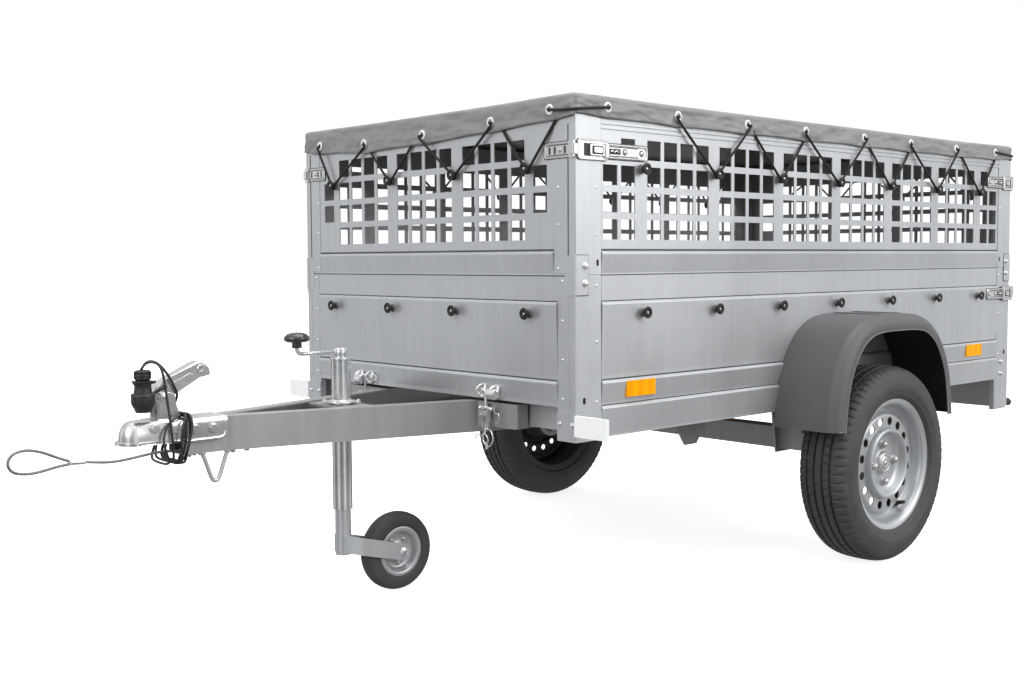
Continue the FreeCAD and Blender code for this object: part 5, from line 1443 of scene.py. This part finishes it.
def tip_bracket(shape, spot):
    """The bracket on the front wall, with two eyes and a roller."""
    patch(shape, lambda u, v: spot(0, u, v), rounded_outline(214, 306, 505, 541, 10), AHEAD * 2.5, 0.8)
    for centre, radius, thick in ((238, 15.5, 3.4), (286, 14.5, 4.2)):
        loop = [spot(8 + 5 * math.cos(2 * a), centre + radius * math.cos(a), 523 + radius * math.sin(a))
                for a in (math.tau * k / 20 for k in range(21))]
        bar(shape, loop, thick, 10, False)
        lathe(shape, [(7.5, 2), (7.5, 8), (5.5, 9.5), (0, 9.5)], spot(0, centre, 523), AHEAD, 18)
    lathe(shape, TIP_ROLLER, spot(12, 280, 517), LEFT, 22)


def tip_toggle(shape, spot, out):
    """The rod below the bracket, with the toggle that it pulls."""
    bar(shape, [spot(11, 252, 523), spot(12, 255, 506), spot(13, 257, 480)], 3.2, 12)
    bar(shape, [spot(13, u, v) for u, v in TOGGLE_AXLE], [4.6, 4.2, 4.2, 4.6], 12)
    for end in (237, 277):
        lathe(shape, [(0, -5.5), (4, -4.4), (5.8, 0), (4, 4.4), (0, 5.5)], spot(13, end, 481), LEFT, 14)
    for u in (247.5, 266.5):
        slab(shape, [spot(x, u - 1.2, v) for x, v in TOGGLE_CHEEK], out * 2.4 * MM, 0.6)
    for ahead, outline, thick in ((17, (249, 265, 463, 476, 3), 2.6), (12, (250, 264, 430, 446, 5), 2.4)):
        patch(shape, lambda u, v: spot(ahead, u, v), rounded_outline(*outline), AHEAD * thick, 0.7)


def lynch_pin(shape, spot):
    """The pin that locks the toggle: its ring, wavy clip and tab."""
    turns = [math.tau * k / 26 for k in range(27)]
    bar(shape, [spot(17, 268 + 19 * math.cos(a), 410 + 21 * math.sin(a)) for a in turns], 1.7, 8, False)
    bar(shape, curve_through([spot(18, u, v) for u, v in PIN_CLIP], 4), 1.5, 8)
    bar(shape, curve_through([spot(15, 256, 432), spot(16, 258, 424), spot(17, 256, 418)], 4), 1.8, 8)
    slab(shape, [spot(16, u, v) for u, v in PIN_TAB], AHEAD * 3 * MM, 0.7)


def tip_fasteners():
    """What holds the box down at the front, one set to each side."""
    shape = bmesh.new()
    for side, out in SIDES:
        def spot(ahead, across, level):
            return at(ahead, side * across, level)
        tip_bracket(shape, spot)
        tip_toggle(shape, spot, out)
        lynch_pin(shape, spot)
    show("tip_latch_set", shape, "zinc", "box", ["tip_latches"], 40, flat=True)


ARM_CLIP = ((284, 492), (285, 472), (300, 470), (301, 454), (288, 446))
CHANNEL_EDGE = ((700, 44, 449), (690, 45.5, 449.5), (640, 45.5, 450), (616, 45.0, 450.5), (606, 43, 455),
                (603, 41.5, 464))
CHANNEL_BOLTS = ((766.6, 36, 483.4), (726, 43, 479.4), (677.8, 45, 475.6), (633, 45, 473.5))


def drawbar_fittings():
    """Plates, bolts and clips on the arms, and the bolts and rolled edges of the coupling's channel."""
    shape = bmesh.new()
    for side, out in SIDES:
        patch(shape, lambda u, v: at(2, side * u, v), rounded_outline(216, 254, 432, 492, 9), AHEAD * 3, 1.0)
        screw(shape, at(5, side * 230, 462), AHEAD, 12, 5, 8.5, 3.6)
        bar(shape, curve_through([at(9, side * u, v) for u, v in ARM_CLIP], 4), 1.6, 8)
        for x, y, z in CHANNEL_BOLTS:
            screw(shape, at(x, side * y, z), out, 17, 6.5, 11, 0)
        bar(shape, curve_through([at(x, side * y, z) for x, y, z in CHANNEL_EDGE], 5), 3.6, 12)
        for x in (574.8, 540):
            screw(shape, at(x, side * 26, 417), -UP, 12, 5, 8, 3.6)
    for x, y in ((680.5, 24), (663.7, 12)):
        screw(shape, at(x, y, 417), -UP, 9, 4, 6.5, 2.8)
    show("drawbar_bolts", shape, "latch", "chassis", smooth=45, flat=True)


COUPLING_LOW = 453
BALL_X = 802
SHELL_THICK = 3
NOSE_TURNS = (86, 80, 72, 62, 50, 37, 24, 12, 0)    # degrees from the channel round to the nose's tip
# The neck's sections: place ahead, half width, top and how boxy the arch is.
NECK = ((786, 34, 500.4, 3.0), (770, 35.5, 501, 4.0), (756, 38, 501, 5.5), (742, 41, 500, 7),
        (728, 43.5, 499.5, 8), (710, 45, 499, 9), (700, 45, 499, 10), (650, 45, 499, 10),
        (597, 45, 499, 10))
RIM_FOOT = ((760, 41.5), (728, 46.5), (700, 46.8))
LEVER = ((759, 548), (756, 562), (749, 573), (738, 581), (716, 592), (657, 620), (645, 622.5), (634, 617),
         (626, 606), (620, 594), (625, 587), (637, 591), (647, 586), (703, 560), (722, 541), (750, 538))
LEVER_HALF = 17
LEVER_PANEL = ((734, 567), (722, 574), (672, 597), (665, 594), (668, 587), (718, 563), (730, 560))
LEVER_DIMPLE = [(9.5, -1), (9.5, 0.8), (8.2, 2.6), (6.2, 2.6), (5.4, 0.6), (0, 0.5)]
CHEEK = ((752, 497), (749, 512), (752, 530), (752, 548), (744, 558), (722, 558), (711, 552), (708, 530),
         (703, 512), (690, 497))
CHEEK_NEAR, CHEEK_FAR = 18.2, 21.2
GUIDE = [(x, 30, z) for x, z in ((590, 416), (595, 406), (603, 384), (611, 362), (616, 353.5), (622, 351.5),
                                 (628, 353.5), (633, 362), (641, 384), (649, 406), (654, 416))]


def coupling_row(shape, x, wide, top, power):
    """One cross-section of the coupling's pressed shell: a boxy arch, outside and in."""
    row = []
    for inset, order in ((0, 1), (SHELL_THICK, -1)):
        arch = []
        half, high = max(wide - inset, 0.5), top - inset - COUPLING_LOW
        for angle in (math.pi * step / 32 for step in range(33)):
            across = math.copysign(abs(math.cos(angle)) ** (2 / power), math.cos(angle))
            rise = math.sin(angle) ** (2 / power)
            arch.append(at(x, across * half, COUPLING_LOW + rise * high))
        row += arch[::order]
    return spots_in(shape, row)


def coupling_shell():
    """The ball head: a domed nose that squares off into the channel."""
    shape = bmesh.new()
    rows = [coupling_row(shape, BALL_X + 27 * math.sin(a), 33 * math.cos(a) ** 0.85, 462 + 38 * math.cos(a),
                         2.2 + 0.4 * math.cos(a)) for a in map(math.radians, NOSE_TURNS)]
    rows += [coupling_row(shape, *station) for station in NECK]
    skin(shape, rows)
    cap_ends(shape, rows)
    show("coupling_shell", shape, "latch", "chassis", ["coupling_head"], 50)


def coupling_handle():
    """The head's rolled rim, the cheeks, and the hand lever between them."""
    shape = bmesh.new()
    outline = [(BALL_X + 34.4 * math.cos(a), 43 * math.sin(a))
               for a in (math.radians(-90 + 7.5 * k) for k in range(25))]
    outline += [*RIM_FOOT, *((x, -y) for x, y in RIM_FOOT[::-1])]
    slab(shape, [at(x, y, COUPLING_LOW - 4) for x, y in outline], UP * 6 * MM, 2.6, 4)
    slab(shape, [at(x, -LEVER_HALF, z) for x, z in LEVER], LEFT * 2 * LEVER_HALF * MM, 5.5, 5)
    for side, out in SIDES:
        slab(shape, [at(x, side * CHEEK_NEAR, z) for x, z in CHEEK], out * (CHEEK_FAR - CHEEK_NEAR) * MM, 1.0)
        lathe(shape, [(9, -1), (9, 2.4), (7.6, 3.8), (0, 4)], at(738, side * CHEEK_FAR, 549), out, 24)
        slab(shape, [at(x, side * (LEVER_HALF - 0.6), z) for x, z in LEVER_PANEL], out * 1.6 * MM, 0.8)
        lathe(shape, LEVER_DIMPLE, at(646, side * LEVER_HALF, 604.5), out, 24)
    show("coupling_lever", shape, "zinc", "chassis", ["coupling_handle"], 50, flat=True)


def guide_rod():
    """The bent rod that guides the cables below the coupling."""
    shape = bmesh.new()
    bar(shape, curve_through(placed(GUIDE), 4), 4.9, 14)
    for foot in placed([GUIDE[0], GUIDE[-1]]):
        lathe(shape, [(0, -3), (8, -3), (8.6, -1.5), (8.6, 2.5), (0, 2.5)], foot, UP, 20)
    show("guide_rod", shape, "galvanised", "chassis", ["cable_guide"], 50)


# Jockey wheel and lead plug. Turned profiles are pairs of (radius, level) or (radius, place across).
JOCKEY_X = 262
JOCKEY_AXLE = at(102, 0, 100)
CRANK_HUB = [(0, 606.2), (16.5, 606.2), (17.2, 607.5), (17.2, 629), (16.2, 630.2), (0, 630.4)]
# How far ahead of the tube, and the level.
CRANK_ARM = ((12, 621), (60, 621.5), (100, 621), (117, 623), (123.5, 631), (124, 640))
KNOB = [(0, 636), (11.5, 636), (12, 638), (11.5, 649), (24, 650.5), (29.5, 654), (31, 658), (29, 664),
        (23, 669.5), (13, 672.8), (0, 674)]
COLLARS = ([(24.1, 600), (25.6, 600.5), (25.9, 604), (25.2, 606.3), (16, 606.6), (16, 600)],
           [(24.1, 495.5), (36, 495.5), (36.6, 497), (36, 499), (27.5, 499.6), (26, 502), (24.1, 503)])
JOCKEY_TYRE = [(63.5, -21.5), (66, -23.6), (74, -24.6), (84, -24.9), (90, -24.2), (94.2, -21.6),
               (96.6, -17.8), (98.4, -12.6), (98.0, -12.0), (98.0, -10.8), (99.2, -10.2), (99.9, -4),
               (100, 0)]
JOCKEY_DISC = [(9, 26), (15, 26), (17.5, 24.5), (18.5, 9), (21, 7.5), (40, 6.5), (45, 8.5), (48.5, 14),
               (51, 20.5), (55, 23), (60, 23.6), (63.2, 22.6), (64.2, 20.4), (64.2, 0), (50, 0), (44, 2),
               (9, 2)]


def jockey_crank():
    """The crank on top of the tube, with its knob."""
    crank, knob = bmesh.new(), bmesh.new()
    lathe(crank, CRANK_HUB, at(JOCKEY_X, 0, 0), UP, 36)
    bar(crank, curve_through([at(JOCKEY_X + x, 0, z) for x, z in CRANK_ARM], 6), 5.2, 14)
    lathe(knob, KNOB, at(JOCKEY_X + CRANK_ARM[-1][0], 0, 0), UP, 36)
    show("crank_arm", crank, "zinc", "chassis", ["jockey_crank"], 45)
    show("crank_knob", knob, "gloss", "chassis", smooth=60)


def jockey_collar():
    """The tube's cap, its seam and the clamp on the drawbar."""
    shape = bmesh.new()
    for profile in COLLARS:
        lathe(shape, profile, at(JOCKEY_X, 0, 0), UP, 40, closed=True)
    bar(shape, [at(JOCKEY_X + 17.5, 17.5, z) for z in (505, 540, 596)], 1.8, 8)
    for x, y in ((-30, 30), (30, 30), (-30, -30), (30, -30)):
        screw(shape, at(JOCKEY_X + x, y, 495.4), UP, 10, 4.5, 7, 3)
    screw(shape, at(JOCKEY_X - 34, 60, 417), -UP, 12, 6, 8.5, 3.6)
    show("tube_collar", shape, "zinc", "chassis", smooth=45, flat=True)


def jockey_wheel():
    """The small wheel's tyre, its dished rim and the bolt through the fork."""
    tread, disc, bolt = (bmesh.new() for _ in range(3))
    profile = JOCKEY_TYRE + [(radius, -along) for radius, along in JOCKEY_TYRE[-2::-1]]
    lathe(tread, profile, JOCKEY_AXLE, LEFT, 72, closed=True)
    for _, out in SIDES:
        lathe(disc, JOCKEY_DISC, JOCKEY_AXLE, out, 64, closed=True)
        for spot in ring_points(JOCKEY_AXLE + out * 7 * MM, out, 32, 5, 0.3):
            screw(disc, spot, out, 8.5, 3.8, 6.4, 2.6)
        screw(bolt, JOCKEY_AXLE + out * 35 * MM, out, 17, 5.5, 12, 0)
    show("jockey_tyre_round", tread, "tyre", "jockey_wheel", ["jockey_tyre"], 40)
    show("jockey_rim_dished", disc, "rim", "jockey_wheel", ["jockey_rim"], 40)
    show("jockey_axle_bolt", bolt, "zinc", "jockey_leg", smooth=45)


LEG_TUBE = [(19.5, 117), (19.5, 170), (19.5, 520), (17, 520), (17, 117)]
FORK_GAP = 31
FORK_SHEET = 4
FORK_TALL = 22    # half of the fork plates' height
# The fork plates' inner faces from the tube to the axle: place ahead and place across.
FORK_LINE = ((274, 17.4), (262, 18.6), (247, 22.5), (232, 29.4), (226, FORK_GAP), (165, FORK_GAP),
             (102, FORK_GAP))


def fork_rows():
    """The stations of a fork plate, round at its foot: place ahead, place across, low and high level."""
    for x, y in FORK_LINE:
        middle = 143 - 43 * (JOCKEY_X - min(x, JOCKEY_X)) / 160
        yield x, y, middle - FORK_TALL, middle + FORK_TALL
    for turn in map(math.radians, (20, 40, 55, 70, 85)):
        half = FORK_TALL * math.cos(turn)
        yield 102 - FORK_TALL * math.sin(turn), FORK_GAP, 100 - half, 100 + half


def jockey_leg():
    """The inner tube with the two cranked plates that reach back and down to the small wheel's axle."""
    shape = bmesh.new()
    lathe(shape, LEG_TUBE, at(JOCKEY_X, 0, 0), UP, 48, closed=True)
    for side, _ in SIDES:
        rings = []
        for x, y, low, high in fork_rows():
            section = ((y, low), (y, high), (y + FORK_SHEET, high), (y + FORK_SHEET, low))
            rings.append(spots_in(shape, (at(x, side * out, z) for out, z in section)))
        skin(shape, rings)
        cap_ends(shape, rings)
    lathe(shape, [(0, -42), (7, -42), (7, 42), (0, 42)], JOCKEY_AXLE, LEFT, 20)
    show("jockey_leg_fork", shape, "galvanised", "jockey_leg", ["jockey_leg"], 40, flat=True)


BUFFER = [(0, 0), (12, 0), (12.4, 28), (13.6, 31), (13.6, 36), (12.4, 40), (9.4, 43), (5.5, 44.6), (0, 45)]


def rear_buffers():
    """Round rubber buffers at the rear corners."""
    shape = bmesh.new()
    for side, _ in SIDES:
        lathe(shape, BUFFER, Vector((REAR, side * 543 * MM, 342 * MM)), -AHEAD, 28)
    show("rear_buffer_rubbers", shape, "black", "box", ["rear_buffers"], 50)


def rear_fold():
    """The rear board's upper fold, which closes the gap below the floor."""
    low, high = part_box("rear_board")
    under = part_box("floor_panel")[0].z
    shape = bmesh.new()
    box(shape, Vector((low.x + 0.2 * MM, low.y + 2 * MM, high.z - 1 * MM)),
        Vector((high.x - 0.2 * MM, high.y - 2 * MM, under - 0.5 * MM)), 0.2, 1)
    show("rear_board_fold", shape, "galvanised", "box")


def rear_lights():
    """The tail lamps: a black housing, and lenses in three fields."""
    lamps = frame["nodes"]["tail_lamps"]
    near = [spot for spot in (lamps.matrix_world @ vertex.co for vertex in lamps.data.vertices) if spot.y > 0]
    low, high = (Vector([pick(spot[axis] for spot in near) for axis in range(3)]) for pick in (min, max))
    size = high - low
    housing, red, amber = (bmesh.new() for _ in range(3))
    # Start and end across, bottom and top as shares; then how deep it starts, its rise and its softness.
    fields = ((housing, 0, 1, 0, 1, size.x / MM, size.x / MM - 6, 4.0),
              (amber, 0.04, 0.32, 0.06, 0.94, 7, 7, 2.5), (red, 0.34, 0.96, 0.40, 0.94, 7, 7, 2.5),
              (red, 0.34, 0.96, 0.06, 0.37, 7, 6.4, 2.0))
    for side, _ in SIDES:
        for shape, start, end, bottom, top, deep, rise, soft in fields:
            outline = [Vector((low.x + deep * MM, side * (low.y + size.y * share), low.z + size.z * part))
                       for share, part in ((start, bottom), (end, bottom), (end, top), (start, top))]
            slab(shape, outline, AHEAD * -rise * MM, soft, 3)
    show("lamp_housings", housing, "black", "box", ["tail_lamps"], 40, flat=True)
    show("lamp_lenses", red, "lamp", "box", smooth=40, flat=True)
    show("turn_lenses", amber, "amber", "box", smooth=40, flat=True)


PLUG = [(0, 611.5), (7, 611.5), (14.5, 610.5), (16.8, 608.5), (17.2, 604), (16.6, 603), (16.6, 601.6),
        (17.3, 600.6), (17.3, 597), (16.6, 596), (16.6, 594.6), (17.2, 593.6), (16.6, 591), (14, 588.6),
        (18.5, 588), (23.2, 587.2), (23.2, 585.4), (20, 581.5), (17.6, 577), (18.2, 570), (19.4, 561.5),
        (24.6, 559.6), (25.6, 558.2), (25.6, 553.4), (24.8, 552.6), (24.8, 551.2), (25.5, 550.4),
        (25.3, 541), (24.4, 536.4), (22, 532), (18.8, 526.4), (17.0, 521.5), (15.6, 519.3), (12.8, 519.1),
        (12.2, 521), (0, 521)]
PLUG_STRAP = ((768, 22.4, 556), (756, 22.4, 561), (744, 22.4, 567), (734, 22.2, 570))


def plug_body():
    """The lead's plug: a ribbed gland, flared ears, a grooved ring and a tapered face."""
    shape = bmesh.new()
    centre = at(786, 24, 0)
    lathe(shape, PLUG, centre, UP, 48)
    for spot in ring_points(centre, UP, 17.4, 14):
        bar(shape, [spot + UP * z * MM for z in (592.5, 600, 607.5)], 0.9, 6)
    for ear in (Vector((math.cos(turn), math.sin(turn), 0)) for turn in (0.5, 2.6)):
        line = [centre + (ear * out + UP * level) * MM for out, level in ((16, 583), (25, 584.5), (27, 588))]
        bar(shape, line, [3.4, 3.0, 2.2], 8)
    bar(shape, curve_through(placed(PLUG_STRAP), 5), 3.6, 10)
    lathe(shape, [(5.4, -4.8), (5.4, 0.6), (4.4, 1.8), (0, 2)], at(734, 22, 570), LEFT, 18)
    return show("plug_shell", shape, "black", "chassis", ["plug"], 40)


camera()
cords(plug_body())
cover_sheet()
eyelets()
hooks()
lacing()
wheels()
fenders()
fasteners()
post_opening_shade()
ledges()
trims()
latches()
tip_fasteners()
drawbar_fittings()
coupling_shell()
coupling_handle()
guide_rod()
jockey_crank()
jockey_collar()
jockey_wheel()
jockey_leg()
rear_buffers()
rear_fold()
rear_lights()
studio()
